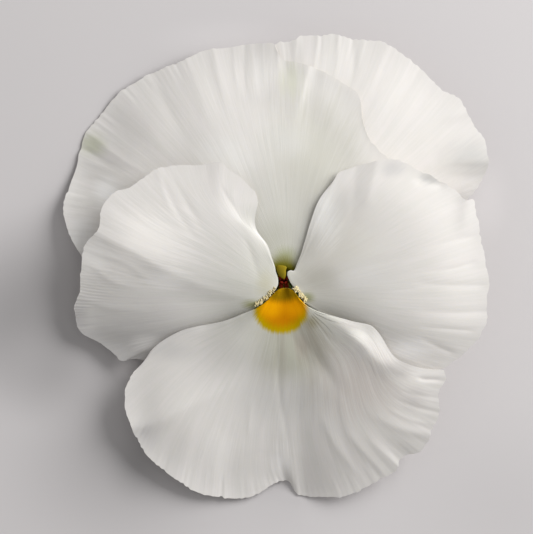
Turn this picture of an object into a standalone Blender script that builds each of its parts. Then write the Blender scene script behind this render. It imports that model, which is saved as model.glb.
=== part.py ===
"""White viola blossom, as picked, lying on its back with its face up.

Five petals, five sepals, five stamens, the pistil, and the receptacle with its cut stalk. Each is one
closed solid. Every petal is a sheet between four curves: the lip line round the throat, two side edges
and the rim. Its heights are a net of five sections, from the throat to the rim. The sheets are laid one
on the other, from the back petal to the front one, and the lowest rims rest on the ground plane.

Shapes are worked out in millimetres round the throat axis: +X to the right of the face, +Y towards the
upper petals, +Z out of the face. At the end everything moves so that the origin is at the middle of the
bounding box, at ground level.
"""

import math

import bmesh
import bpy
import numpy as np
from mathutils import Matrix, Vector

MM = 0.001

PETAL_THICKNESS = 0.30
LAYER_GAP = 0.62
GROUND_CLEARANCE = 0.16
PETAL_COLUMNS = 22
CLAW_ROWS = 4
LIMB_ROWS = 10
ROW_SPREAD = 1.25
# The rim's broad course reaches all of the limb; its notches and corners fade out with this power.
BROAD_POINTS = 6
NOTCH_POWER = 7
CREASE_STEPS = 48
CREASE_POWER = 1.6

HEART = Vector((0.0, 0.9, 0.0))
CLAW_FOOT = 5.32
CLAW_RADIUS = 1.5
CLAW_WIDTH = 1.1
CLAW_REACH = 1.3
# How far a claw's bend stands over its foot, on the way to the place level with the limb.
CLAW_LEAN = 0.15
# How far the lip petal's claw folds under its tongue-shaped lip.
TONGUE_FOLD = (0.0, 0.12, -0.55)

STALK_RADIUS = 0.95
STALK_SIDES = 12
# The receptacle, seen as rings round the stalk's start: (height, radius).
RECEPTACLE = [(5.0, 1.4), (4.92, 1.62), (4.6, 1.7), (4.2, 1.6), (3.75, 1.2), (3.4, 0.97)]
STALK_PATH = [(0.0, 0.9, 3.4), (0.0, 1.25, 2.3), (-0.15, 2.3, 1.35), (-0.7, 4.6, 1.0), (-1.8, 8.2, 0.97)]

# The spur hangs behind the lower petal's claw. Its mouth is cut aslant: high in front, low behind.
SPUR_RADIUS = 1.02
SPUR_FRONT = 200.0
SPUR_BACK_COLUMNS = 9
SPUR_MOUTH = ((0.0, -1.5, 6.6), 37.0)
SPUR_PATH = [(0.0, -2.05, 5.6), (0.0, -2.4, 4.4), (0.0, -2.75, 3.2), (0.0, -3.1, 2.2)]
SPUR_TIP = [(0.0, -3.3, 1.62), (0.0, -3.42, 1.3)]

# The pistil from the foot of its ovary to the top of its stigma: (place, half width, half depth).
PISTIL = [
    ((0.0, 0.9, 5.25), 0.3, 0.3), ((0.0, 0.9, 5.4), 0.46, 0.46), ((0.0, 0.9, 6.0), 0.54, 0.54),
    ((0.0, 0.9, 6.5), 0.42, 0.42), ((0.02, 0.88, 6.9), 0.2, 0.2), ((0.03, 0.85, 7.4), 0.15, 0.15),
    ((0.03, 0.85, 7.8), 0.15, 0.15), ((0.02, 0.98, 8.14), 0.15, 0.13), ((-0.06, 1.25, 8.32), 0.2, 0.16),
    ((-0.17, 1.55, 8.38), 0.32, 0.22), ((-0.26, 1.8, 8.4), 0.5, 0.26), ((-0.32, 2.1, 8.4), 0.66, 0.28),
    ((-0.33, 2.4, 8.38), 0.74, 0.28), ((-0.3, 2.65, 8.34), 0.76, 0.24), ((-0.27, 2.82, 8.3), 0.5, 0.15),
]
PISTIL_SIDES = 12

# A stamen: (height, distance from the pistil's axis, width, thickness), foot to tip.
STAMEN = [
    (5.3, 0.9, 0.32, 0.18), (5.5, 0.9, 0.58, 0.26), (6.3, 0.86, 0.66, 0.28), (7.0, 0.7, 0.62, 0.27),
    (7.45, 0.58, 0.6, 0.27), (7.75, 0.5, 0.57, 0.3), (7.95, 0.48, 0.46, 0.28),
]
STAMEN_SIDES = 10
ANTHER_RING = (0.03, 0.85)
# (y, height, sideways place, half width) of each ring of a nectar horn, from its anther to the spur.
HORN = [
    (0.4, 7.05, 0.34, 0.27), (0.1, 7.2, 0.38, 0.33), (-0.25, 7.15, 0.4, 0.34), (-0.65, 6.85, 0.39, 0.32),
    (-1.2, 6.4, 0.36, 0.27), (-1.75, 5.6, 0.34, 0.25), (-2.1, 4.7, 0.33, 0.24), (-2.3, 4.0, 0.33, 0.2),
]
HORN_FLATNESS = 0.7
HORN_SIDES = 8

# A sepal's middle line from the end of its ear to its tip: (distance out, height, width).
SEPAL = [
    (2.75, 2.95, 0.9), (2.35, 3.35, 1.5), (2.05, 3.95, 1.5), (2.1, 4.6, 1.5), (2.7, 4.95, 1.7),
    (4.2, 5.1, 2.5), (6.4, 5.05, 3.3), (8.8, 4.7, 3.1), (11.0, 4.1, 2.0), (13.0, 3.3, 0.3),
]
SEPAL_THICKNESS = 0.34
SEPAL_COLUMNS = 6
SEPAL_ROWS = 13
SEPAL_CUP = 0.45

# Each petal: the direction of its claw from the heart, in degrees, and then in order across the petal,
# clockwise as seen from the face: the lip line, the first side edge, the rim and the last side edge.
# "heights" has a row for each quarter of the way from the lip to the rim, and five columns across.
# "creases" are ridges and valleys: (line in plan, width on its left, width on its right, heights along it).
# "fold" is how far the claw drops below the level of the limb, where it folds back under it.
PETALS = {
    "right_upper_petal": {
        "claw": 62,
        "fold": 0.0,
        "lip": [(1.0, 2.6), (1.35, 2.5), (1.7, 2.3)],
        "first": [(1.0, 2.6), (-1.6, 13.0), (-2.8, 23.0), (-2.6, 30.4)],
        "rim": [
            (-2.6, 30.4), (-2.6, 33.0), (-1.4, 34.4), (0.9, 34.9), (2.4, 35.6), (5.3, 35.7), (7.4, 35.9),
            (9.9, 35.0), (13.1, 34.9), (16.0, 33.6), (18.1, 32.1), (20.3, 30.3), (22.4, 27.9), (24.6, 26.9),
            (26.0, 25.3), (26.7, 23.6), (28.6, 20.6), (29.1, 18.6), (28.7, 15.6), (26.7, 12.8),
            (24.0, 10.3), (22.5, 8.5),
        ],
        "last": [(1.7, 2.3), (8.0, 4.8), (15.5, 6.7), (22.5, 8.5)],
        "heights": [
            (6.7, 6.7, 6.7, 6.7, 6.7),
            (6.4, 6.4, 6.7, 6.5, 6.2),
            (5.8, 5.8, 6.1, 5.7, 4.6),
            (4.7, 5.0, 5.5, 4.6, 2.6),
            (3.1, 4.0, 4.7, 4.1, 0.3),
        ],
        "creases": [
            ([(21.8, 17.0), (25.3, 17.8), (29.0, 17.5)], 3.0, 1.4, (0.13, 0.39, 0.45)),
        ],
    },
    "left_upper_petal": {
        "claw": 118,
        "fold": 0.0,
        "lip": [(-1.5, 2.75), (-0.5, 3.0), (0.6, 2.85), (1.7, 2.2)],
        "first": [(-1.5, 2.75), (-9.0, 2.4), (-18.0, 1.2), (-26.5, 0.5)],
        "rim": [
            (-26.5, 0.5), (-29.3, 4.8), (-31.0, 8.1), (-31.6, 11.4), (-30.4, 15.0), (-29.2, 18.9),
            (-28.7, 21.4), (-26.1, 24.7), (-24.6, 26.7), (-20.4, 29.7), (-14.7, 32.1), (-11.9, 33.5),
            (-7.6, 34.1), (-3.0, 34.7), (-1.5, 34.6), (-0.8, 33.2), (0.2, 32.1), (2.4, 31.7),
            (4.4, 31.0), (8.9, 28.6), (10.7, 27.0), (11.3, 23.6), (12.3, 20.6), (15.0, 17.9),
            (16.8, 15.8),
        ],
        "last": [(1.7, 2.2), (2.8, 3.2), (4.0, 4.6), (6.8, 7.6), (12.0, 12.2), (16.8, 15.8)],
        "heights": [
            (7.5, 7.5, 7.5, 7.5, 7.5),
            (6.4, 6.5, 7.0, 7.4, 8.0),
            (5.6, 5.2, 6.2, 6.9, 8.1),
            (5.0, 3.4, 4.0, 5.3, 8.0),
            (4.4, 0.3, 1.6, 4.0, 7.8),
        ],
        "creases": [
            ([(-24.3, 26.7), (-21.1, 24.7), (-18.7, 22.1), (-17.3, 19.3)], 1.8, 3.0, (0.05, 0.1, 0.1, 0.06)),
            ([(-14.0, 31.9), (-11.9, 27.1), (-10.4, 22.1)], 1.8, 2.4, (0.18, 0.18, 0.05)),
            ([(3.5, 31.3), (2.7, 28.0), (1.9, 25.0), (1.4, 22.5)], 0.8, 2.6, (0.3, 0.26, 0.14, 0.04)),
        ],
    },
    "left_side_petal": {
        "claw": 176,
        "fold": 0.55,
        "lip": [
            (-3.2, -2.45), (-2.5, -1.85), (-1.8, -1.15), (-1.2, -0.5), (-0.9, 0.1), (-0.87, 0.8), (-1.1, 1.7),
        ],
        "first": [(-3.2, -2.45), (-4.4, -3.5), (-5.7, -4.5), (-8.5, -5.9), (-15.0, -9.0), (-19.9, -10.7)],
        "rim": [
            (-19.9, -10.7), (-21.7, -10.5), (-23.1, -10.8), (-24.4, -9.6), (-26.9, -7.9), (-29.0, -6.7), (-29.9, -3.6),
            (-29.1, -0.7), (-29.0, 2.1), (-28.3, 5.7), (-26.4, 8.0), (-25.8, 11.0), (-24.0, 13.3),
            (-21.9, 14.0), (-18.2, 16.5), (-16.1, 17.0), (-11.9, 17.1), (-9.0, 17.4), (-7.3, 16.1),
            (-5.4, 14.7), (-4.0, 13.1), (-3.6, 11.7),
        ],
        "last": [
            (-1.1, 1.7), (-1.3, 2.8), (-1.6, 3.7), (-2.3, 5.7), (-3.7, 7.6), (-4.1, 9.0), (-3.9, 10.6),
            (-3.6, 11.7),
        ],
        "heights": [
            (8.0, 8.1, 8.2, 8.2, 8.2),
            (6.2, 7.2, 8.2, 8.5, 8.5),
            (5.0, 6.6, 7.7, 8.2, 8.3),
            (4.0, 5.8, 7.2, 7.6, 7.9),
            (3.4, 5.1, 6.9, 7.3, 7.8),
        ],
        "creases": [
            (
                [
                    (-26.8, 7.9), (-24.4, 6.5), (-21.2, 4.9), (-17.6, 2.8), (-11.9, 0.3), (-7.6, -1.1),
                    (-5.2, -1.7),
                ],
                5.0, 1.8, (0.5, 0.58, 0.52, 0.42, 0.36, 0.3),
            ),
            ([(-9.1, 17.4), (-9.3, 13.6), (-8.7, 10.0), (-6.9, 5.0)], 3.0, 1.8, (0.24, 0.12, 0.05, 0.04)),
            (
                [(-33.3, -0.9), (-30.4, -5.1), (-27.5, -9.3), (-24.6, -13.4)],
                7.5, 3.0, (-0.8, -2.0, -2.2, -1.5),
            ),
        ],
    },
    "right_side_petal": {
        "claw": 4,
        "fold": 0.55,
        "lip": [
            (0.6, 2.0), (0.58, 1.5), (0.78, 0.95), (1.05, 0.4), (1.5, -0.2), (2.0, -0.9), (2.5, -1.6),
            (2.9, -2.4),
        ],
        "first": [
            (0.6, 2.0), (0.95, 2.15), (1.42, 2.1), (1.85, 3.0), (2.5, 4.6), (3.9, 9.3), (5.0, 12.1),
            (7.1, 14.9),
        ],
        "rim": [
            (7.1, 14.9), (7.9, 16.1), (11.0, 17.1), (14.6, 17.9), (16.7, 17.6), (19.9, 15.9),
            (23.4, 14.1), (25.9, 12.1), (26.8, 12.2), (27.3, 10.0), (28.4, 4.3), (29.0, 0.6),
            (28.7, -2.1), (28.6, -5.7), (26.7, -8.6), (23.9, -11.0), (20.5, -13.0),
        ],
        "last": [(2.9, -2.4), (8.0, -6.0), (14.0, -10.2), (20.5, -13.0)],
        "heights": [
            (8.4, 8.3, 8.2, 8.2, 8.0),
            (8.2, 9.1, 9.5, 9.0, 7.4),
            (8.1, 9.5, 10.1, 9.5, 7.2),
            (8.2, 9.8, 10.5, 9.7, 7.3),
            (8.2, 9.4, 9.9, 9.3, 6.9),
        ],
        "creases": [
            ([(2.4, 4.3), (3.9, 9.3), (5.0, 12.1), (6.8, 14.6)], 1.8, 1.8, (0.05, 0.15, 0.2, 0.1)),
        ],
    },
    "lower_petal": {
        "claw": 270,
        "lip": [
            (3.05, -3.0), (2.4, -2.2), (1.8, -1.4), (1.3, -0.8), (0.8, -0.5), (0.15, -0.42), (-0.45, -0.5),
            (-0.9, -0.75), (-1.35, -1.15), (-1.9, -1.72), (-2.5, -2.38), (-3.3, -3.05),
        ],
        "first": [
            (3.05, -3.0), (5.6, -3.9), (9.9, -5.1), (12.4, -5.7), (13.6, -6.9), (15.6, -10.0),
            (17.4, -11.1), (20.0, -11.8), (22.7, -12.0),
        ],
        "rim": [
            (22.7, -12.0), (23.1, -13.2), (22.2, -15.0), (22.1, -17.9), (21.4, -20.4), (19.6, -23.4),
            (16.8, -24.8), (15.9, -26.6), (13.6, -27.9), (10.6, -29.6), (7.4, -30.4), (3.9, -30.4),
            (1.9, -29.9), (0.6, -28.0), (-1.1, -28.4), (-3.6, -29.8), (-6.1, -30.6), (-11.9, -29.8),
            (-16.1, -27.2), (-19.6, -24.3), (-22.0, -19.6), (-22.6, -15.7), (-21.6, -12.6),
            (-20.1, -11.3),
        ],
        "last": [
            (-3.3, -3.05), (-5.7, -3.97), (-8.3, -5.0), (-14.7, -6.5), (-18.6, -9.0), (-20.1, -11.3),
        ],
        "heights": [
            (8.2, 8.0, 7.9, 8.0, 8.1),
            (8.6, 7.9, 7.0, 6.7, 7.0),
            (8.4, 7.4, 5.3, 5.0, 6.0),
            (8.2, 5.5, 2.9, 4.0, 5.2),
            (7.6, 3.2, 0.3, 2.4, 4.6),
        ],
        "creases": [
            (
                [(4.4, -3.7), (8.9, -6.4), (11.0, -8.3), (12.7, -10.1), (14.6, -11.3), (18.9, -13.3)],
                1.6, 2.0, (0.15, 0.6, 0.82, 0.62, 0.25, 0.0),
            ),
            ([(2.1, -6.4), (3.9, -9.3), (6.0, -12.1), (8.9, -16.4)], 1.3, 1.3, (-0.2, -0.25, -0.18, 0)),
            ([(1.8, -14.0), (2.4, -22.0), (3.0, -30.0)], 2.4, 2.2, (0, -0.25, -0.45)),
            (
                [(-21.9, -20.4), (-19.0, -19.9), (-11.9, -16.4), (-8.3, -14.7)],
                2.0, 1.2, (0.42, 0.42, 0.26, 0.09),
            ),
        ],
    },
}

SEPALS = {
    "sepal_top": 90,
    "sepal_upper_left": 158,
    "sepal_lower_left": 221,
    "sepal_lower_right": 319,
    "sepal_upper_right": 22,
}

STAMENS = {
    "stamen_top": 90,
    "stamen_left": 162,
    "stamen_lower_left": 234,
    "stamen_lower_right": 306,
    "stamen_right": 18,
}

COLOURS = {
    "petal": (0.87, 0.86, 0.82),
    "sepal": (0.16, 0.27, 0.06),
    "stalk": (0.22, 0.33, 0.09),
    "pistil": (0.40, 0.42, 0.06),
    "stamen": (0.42, 0.13, 0.02),
}


def clear_scene():
    for thing in list(bpy.data.objects):
        bpy.data.objects.remove(thing, do_unlink=True)


def finish_material(name, roughness):
    """A plain tissue finish, one for each kind of piece."""
    material = bpy.data.materials.get(name)
    if material is None:
        material = bpy.data.materials.new(name)
        material.use_nodes = True
        shader = material.node_tree.nodes["Principled BSDF"]
        shader.inputs["Base Color"].default_value = (*COLOURS[name], 1.0)
        shader.inputs["Roughness"].default_value = roughness
        shader.inputs["Metallic"].default_value = 0.0
    return material


def add_object(name, mesh, kind, roughness=0.6):
    piece = bpy.data.objects.new(name, mesh)
    bpy.context.scene.collection.objects.link(piece)
    mesh.materials.append(finish_material(kind, roughness))
    mesh.shade_smooth()
    return piece


def curve_weights(t, count):
    """Weights of a smooth curve through `count` evenly spaced values, for each t from 0 to 1."""
    place = np.clip(np.asarray(t, float), 0, 1) * (count - 1)
    start = np.minimum(place.astype(int), count - 2)
    s = place - start
    parts = (
        (-s + 2 * s**2 - s**3) / 2,
        (2 - 5 * s**2 + 3 * s**3) / 2,
        (s + 4 * s**2 - 3 * s**3) / 2,
        (-(s**2) + s**3) / 2,
    )
    weights = np.zeros((len(place), count))
    rows = np.arange(len(place))
    for offset, part in zip((-1, 0, 1, 2), parts):
        np.add.at(weights, (rows, np.clip(start + offset, 0, count - 1)), part)
    return weights


def even_curve(points, t):
    """Places at the fractions t of the length of a smooth curve through the points."""
    points = np.array(points, float)
    knots = np.sqrt(np.linalg.norm(np.diff(points, axis=0), axis=1))
    knots = np.concatenate([[0], np.cumsum(knots)])
    ends = np.vstack([2 * points[0] - points[1], points, 2 * points[-1] - points[-2]])
    knots = np.concatenate([[2 * knots[0] - knots[1]], knots, [2 * knots[-1] - knots[-2]]])
    dense = []
    for i in range(1, len(ends) - 2):
        k0, k1, k2, k3 = knots[i - 1 : i + 3]
        p0, p1, p2, p3 = ends[i - 1 : i + 3]
        k = np.linspace(k1, k2, 24, endpoint=False)[:, None]
        a1 = (p0 * (k1 - k) + p1 * (k - k0)) / (k1 - k0)
        a2 = (p1 * (k2 - k) + p2 * (k - k1)) / (k2 - k1)
        a3 = (p2 * (k3 - k) + p3 * (k - k2)) / (k3 - k2)
        b1 = (a1 * (k2 - k) + a2 * (k - k0)) / (k2 - k0)
        b2 = (a2 * (k3 - k) + a3 * (k - k1)) / (k3 - k1)
        dense.append((b1 * (k2 - k) + b2 * (k - k1)) / (k2 - k1))
    dense = np.vstack([*dense, points[-1:]])
    length = np.concatenate([[0], np.cumsum(np.linalg.norm(np.diff(dense, axis=0), axis=1))])
    wanted = np.asarray(t) * length[-1]
    return np.stack([np.interp(wanted, length, dense[:, axis]) for axis in range(dense.shape[1])], -1)


def limb_plan(petal, u, v):
    """The limb's places in plan: a patch between the lip line, the rim and the two side edges."""
    lip, rim = even_curve(petal["lip"], u)[None], even_curve(petal["rim"], u)[None]
    broad = even_curve(even_curve(petal["rim"], np.linspace(0, 1, BROAD_POINTS)), u)[None]
    first, last = even_curve(petal["first"], v)[:, None], even_curve(petal["last"], v)[:, None]
    across, along = u[None, :, None], v[:, None, None]
    corners = (1 - along) * ((1 - across) * lip[:, :1] + across * lip[:, -1:])
    corners = corners + along * ((1 - across) * rim[:, :1] + across * rim[:, -1:])
    outer = along * broad + along**NOTCH_POWER * (rim - broad)
    return (1 - along) * lip + outer + (1 - across) * first + across * last - corners


def crease_heights(creases, plan):
    """The sum of ridges and valleys, each along its own line in plan."""
    heights = np.zeros(plan.shape[:2])
    for points, left, right, tops in creases:
        t = np.linspace(0, 1, CREASE_STEPS)
        line = even_curve(points, t)
        along = np.gradient(line, axis=0)
        along /= np.linalg.norm(along, axis=1, keepdims=True)
        apart = plan[:, :, None] - line
        distance = np.linalg.norm(apart, axis=-1)
        near = distance.argmin(-1)[..., None]
        distance = np.take_along_axis(distance, near, -1)[..., 0]
        side = np.take_along_axis(along[:, 0] * apart[..., 1] - along[:, 1] * apart[..., 0], near, -1)
        side = side[..., 0] / np.maximum(distance, 1e-6)
        width = (left + right) / 2 + side * (left - right) / 2
        top = np.interp(t, np.linspace(0, 1, len(tops)), tops)[near[..., 0]]
        heights += top * np.exp(-((distance / width) ** CREASE_POWER))
    return heights


def limb_heights(petal, plan, u, v):
    """Heights over the limb: the net of sections, with its ridges and valleys."""
    net = np.array(petal["heights"], float)
    heights = curve_weights(v, len(net)) @ net @ curve_weights(u, net.shape[1]).T
    return heights + crease_heights(petal["creases"], plan)


class Ground:
    """The height of whatever already lies at each place, on a square grid."""

    HALF = 38.0
    CELL = 0.5

    def __init__(self):
        count = int(2 * self.HALF / self.CELL) + 1
        self.heights = np.full((count, count), GROUND_CLEARANCE - LAYER_GAP)

    def cells(self, plan):
        places = (plan + self.HALF) / self.CELL
        return np.clip(places, 0, len(self.heights) - 1.001)

    def at(self, plan):
        places = self.cells(plan)
        low = places.astype(int)
        x, y = np.moveaxis(places - low, -1, 0)
        i, j = np.moveaxis(low, -1, 0)
        near = self.heights[i, j] * (1 - x) + self.heights[i + 1, j] * x
        far = self.heights[i, j + 1] * (1 - x) + self.heights[i + 1, j + 1] * x
        return near * (1 - y) + far * y

    def add(self, plan, heights):
        """Lay a sheet down: its grid is refined until every cell under it is reached."""
        t = np.linspace(0, 1, 240)
        rows, columns = curve_weights(t, len(plan)), curve_weights(t, plan.shape[1])
        fine = np.stack([rows @ layer @ columns.T for layer in (*np.moveaxis(plan, -1, 0), heights)])
        cells = np.round(self.cells(np.moveaxis(fine[:2], 0, -1))).astype(int)
        for di in (-1, 0, 1):
            for dj in (-1, 0, 1):
                i = np.clip(cells[..., 0] + di, 0, len(self.heights) - 1)
                j = np.clip(cells[..., 1] + dj, 0, len(self.heights) - 1)
                np.maximum.at(self.heights, (i, j), fine[2])


def settle(plan, heights, ground):
    """Lift a sheet clear of what it lies on, and ease the lift into the rest of the sheet."""
    needed = ground.at(plan) + LAYER_GAP - heights
    lift = np.maximum(needed, 0)
    for _ in range(5):
        wide = np.pad(lift, 1, mode="edge")
        wide = (wide[:-2] + 2 * wide[1:-1] + wide[2:]) / 4
        lift = (wide[:, :-2] + 2 * wide[:, 1:-1] + wide[:, 2:]) / 4
        lift = np.maximum(lift, needed)
    return heights + lift


def level_bend(foot, lip, outer, fold):
    """Where a claw bends so that it meets the limb level with it, or folded back under it."""
    outward = outer - lip
    outward /= np.linalg.norm(outward, axis=-1, keepdims=True)
    level = lip - CLAW_REACH * outward
    level[:, :2] = CLAW_LEAN * level[:, :2] + (1 - CLAW_LEAN) * foot[:, :2]
    level[:, 2] -= fold
    return level


def claw_rows(foot, bend, lip):
    """The claw: from its foot up to the lip line, bending on the way."""
    steps = np.linspace(0, 1, CLAW_ROWS + 1)[:-1, None, None]
    return (1 - steps) ** 2 * foot + 2 * steps * (1 - steps) * bend + steps**2 * lip


def claw_foot(petal):
    """The short arc on the receptacle where a petal is fixed."""
    turn = math.radians(petal["claw"])
    spread = CLAW_WIDTH / CLAW_RADIUS / 2
    angles = np.linspace(turn + spread, turn - spread, PETAL_COLUMNS + 1)
    x = HEART.x + CLAW_RADIUS * np.cos(angles)
    y = HEART.y + CLAW_RADIUS * np.sin(angles)
    return np.stack([x, y, np.full_like(x, CLAW_FOOT)], -1)


def limb_grid(petal, ground):
    """The limb's middle sheet, laid on what is already there: rows from the lip to the rim."""
    u = np.linspace(0, 1, PETAL_COLUMNS + 1)
    v = np.linspace(0, 1, LIMB_ROWS + 1) ** ROW_SPREAD
    plan = limb_plan(petal, u, v)
    heights = settle(plan, limb_heights(petal, plan, u, v), ground)
    ground.add(plan, heights)
    return np.concatenate([plan, heights[..., None]], -1)


def sheet_faces(rows, columns):
    index = np.arange(rows * columns).reshape(rows, columns)
    faces = np.stack([index[:-1, :-1], index[:-1, 1:], index[1:, 1:], index[1:, :-1]], -1)
    return faces.reshape(-1, 4).tolist()


def make_mesh(name, points, faces):
    mesh = bpy.data.meshes.new(name)
    mesh.from_pydata((np.asarray(points).reshape(-1, 3) * MM).tolist(), [], faces)
    return mesh


def thicken(piece, thickness):
    solid = piece.modifiers.new("thickness", "SOLIDIFY")
    solid.thickness = thickness * MM
    solid.offset = 0.0


def spur_ring(centre, tilt, radius):
    """A ring of the spur. It starts at the petal's first column and goes round the front first."""
    side = (SPUR_FRONT - 180) / 2
    front = np.linspace(side, -180 - side, PETAL_COLUMNS + 1)
    back = np.linspace(-180 - side, side - 360, SPUR_BACK_COLUMNS + 2)[1:-1]
    angles = np.radians(np.concatenate([front, back]))
    slant = math.radians(tilt)
    out = radius * np.sin(angles)
    x = centre[0] + radius * np.cos(angles)
    y = centre[1] + out * math.cos(slant)
    z = centre[2] - out * math.sin(slant)
    return np.stack([x, y, z], -1)


def build_lower_petal(name, petal, ground):
    """The lip petal with its spur: the claw's sheet runs on down as the wall of the spur."""
    limb = limb_grid(petal, ground)
    mouth = spur_ring(*SPUR_MOUTH, SPUR_RADIUS)
    claw = claw_rows(mouth[: PETAL_COLUMNS + 1], limb[0] + TONGUE_FOLD, limb[0])
    sheet = np.concatenate([claw, limb])
    rings = [spur_ring(place, 16, SPUR_RADIUS) for place in SPUR_PATH]
    rings += [spur_ring(place, 16, SPUR_RADIUS * part) for place, part in zip(SPUR_TIP, (0.78, 0.4))]
    ring_size = len(mouth)
    points = [*sheet.reshape(-1, 3), *mouth[PETAL_COLUMNS + 1 :], *np.concatenate(rings)]
    faces = sheet_faces(len(sheet), PETAL_COLUMNS + 1)
    back_start = sheet.shape[0] * sheet.shape[1]
    upper = [*range(PETAL_COLUMNS + 1), *range(back_start, back_start + SPUR_BACK_COLUMNS)]
    ring_start = back_start + SPUR_BACK_COLUMNS
    for k in range(len(rings)):
        lower = list(range(ring_start + k * ring_size, ring_start + (k + 1) * ring_size))
        for i in range(ring_size):
            j = (i + 1) % ring_size
            faces.append((upper[i], lower[i], lower[j], upper[j]))
        upper = lower
    tip = len(points)
    points.append(np.mean(rings[-1], axis=0) + (0, -0.04, -0.12))
    faces += [(upper[i], tip, upper[(i + 1) % ring_size]) for i in range(ring_size)]
    piece = add_object(name, make_mesh(name, points, faces), "petal", 0.55)
    thicken(piece, PETAL_THICKNESS)


def build_petals():
    ground = Ground()
    for name, petal in PETALS.items():
        if name == "lower_petal":
            build_lower_petal(name, petal, ground)
            continue
        limb = limb_grid(petal, ground)
        foot = claw_foot(petal)
        bend = level_bend(foot, limb[0], limb[1], petal["fold"])
        grid = np.concatenate([claw_rows(foot, bend, limb[0]), limb])
        mesh = make_mesh(name, grid, sheet_faces(len(grid), PETAL_COLUMNS + 1))
        piece = add_object(name, mesh, "petal", 0.55)
        thicken(piece, PETAL_THICKNESS)


def loft(name, stations, sides):
    """A closed solid through rings square to its path. A station is (place, width, thickness)."""
    shape = bmesh.new()
    places = [Vector(place) for place, _, _ in stations]
    previous = None
    across = Vector((1, 0, 0))
    for i, (_, width, thickness) in enumerate(stations):
        along = (places[min(i + 1, len(places) - 1)] - places[max(i - 1, 0)]).normalized()
        across = (across - along * across.dot(along)).normalized()
        up = along.cross(across)
        ring = []
        for k in range(sides):
            angle = 2 * math.pi * k / sides
            offset = across * (width * math.cos(angle)) + up * (thickness * math.sin(angle))
            ring.append(shape.verts.new((places[i] + offset) * MM))
        if previous:
            for k in range(sides):
                n = (k + 1) % sides
                shape.faces.new((previous[k], previous[n], ring[n], ring[k]))
        else:
            shape.faces.new(ring[::-1])
        previous = ring
    shape.faces.new(previous)
    bmesh.ops.recalc_face_normals(shape, faces=shape.faces)
    mesh = bpy.data.meshes.new(name)
    shape.to_mesh(mesh)
    shape.free()
    return mesh


def build_stalk():
    """The receptacle and the stalk, which hooks over behind the flower and lies along the ground."""
    stations = [((HEART.x, HEART.y, height), radius, radius) for height, radius in RECEPTACLE]
    for t in np.linspace(0, 1, 12)[1:]:
        place = even_curve(STALK_PATH, [t])[0]
        stations.append((place, STALK_RADIUS, STALK_RADIUS))
    add_object("flower_stalk", loft("flower_stalk", stations, STALK_SIDES), "stalk")


def build_pistil():
    add_object("pistil", loft("pistil", PISTIL, PISTIL_SIDES), "pistil", 0.4)


def stamen_mesh(name, turn):
    direction = Vector((math.cos(turn), math.sin(turn), 0))
    top = Vector((*ANTHER_RING, 0))
    low, high = STAMEN[0][0], STAMEN[-1][0]
    stations = []
    for height, out, width, thickness in STAMEN:
        lean = (height - low) / (high - low)
        place = HEART.lerp(top, lean) + direction * out + Vector((0, 0, height))
        stations.append((place, width / 2, thickness / 2))
    mesh = loft(name, stations, STAMEN_SIDES)
    # The rings are wide along X, so each is turned about its own place to be wide round the pistil.
    for vertex in mesh.vertices:
        place = Vector(stations[min(vertex.index // STAMEN_SIDES, len(stations) - 1)][0]) * MM
        offset = vertex.co - place
        offset.rotate(Matrix.Rotation(turn - math.pi / 2, 3, "Z"))
        vertex.co = place + offset
    return mesh


def add_horn(piece, side):
    """A nectar horn from a lower stamen over the mouth of the spur and down into it."""
    stations = [((side * x, y, z), half, half * HORN_FLATNESS) for y, z, x, half in HORN]
    horn = bpy.data.objects.new(piece.name + "_horn", loft(piece.name + "_horn", stations, HORN_SIDES))
    bpy.context.scene.collection.objects.link(horn)
    horn.hide_render = True
    horn.display_type = "WIRE"
    union = piece.modifiers.new("horn", "BOOLEAN")
    union.operation = "UNION"
    union.object = horn


def build_stamens():
    for name, angle in STAMENS.items():
        piece = add_object(name, stamen_mesh(name, math.radians(angle)), "stamen", 0.5)
        if "lower" in name:
            add_horn(piece, -1 if "left" in name else 1)


def build_sepals():
    """Each sepal is a cupped lance-shaped blade, fixed near its foot, with an ear behind."""
    t = np.linspace(0, 1, SEPAL_ROWS)
    out, height, width = even_curve(SEPAL, t).T
    across = np.linspace(-1, 1, SEPAL_COLUMNS + 1)
    for name, angle in SEPALS.items():
        turn = math.radians(angle)
        side = across[None] * width[:, None] / 2
        cup = SEPAL_CUP * (across**2)[None] * width[:, None] / width.max()
        x = HEART.x + out[:, None] * math.cos(turn) + side * math.sin(turn)
        y = HEART.y + out[:, None] * math.sin(turn) - side * math.cos(turn)
        grid = np.stack([x, y, height[:, None] + cup], -1)
        mesh = make_mesh(name, grid, sheet_faces(SEPAL_ROWS, SEPAL_COLUMNS + 1))
        thicken(add_object(name, mesh, "sepal"), SEPAL_THICKNESS)


def place_on_ground():
    """Move everything so that the origin is at the middle of the box, at its lowest point."""
    bpy.context.view_layer.update()
    graph = bpy.context.evaluated_depsgraph_get()
    corners = []
    for piece in bpy.data.objects:
        if not piece.hide_render:
            mesh = piece.evaluated_get(graph).data
            corners += [vertex.co.copy() for vertex in mesh.vertices]
    corners = np.array(corners)
    low, high = corners.min(0), corners.max(0)
    shift = Vector((-(low[0] + high[0]) / 2, -(low[1] + high[1]) / 2, -low[2]))
    for piece in bpy.data.objects:
        piece.location = shift


def main():
    clear_scene()
    build_petals()
    build_stalk()
    build_pistil()
    build_stamens()
    build_sepals()
    place_on_ground()


main()
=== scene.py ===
"""White viola blossom with a yellow eye: the looks of every petal, hair and leaf, laid over its frame.

The blossom lies face up. Shapes are worked out in millimetres round the throat axis, which the frame's
pistil gives: +X to the right of the face, +Y towards the upper petals, +Z out of the face. A petal is a
sheet between its lip line, two side edges and its rim. It takes its broad heights from a net of
sections, lies on the petals behind it, and then gets its pleats, ripples and crimped rim.
"""

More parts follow.
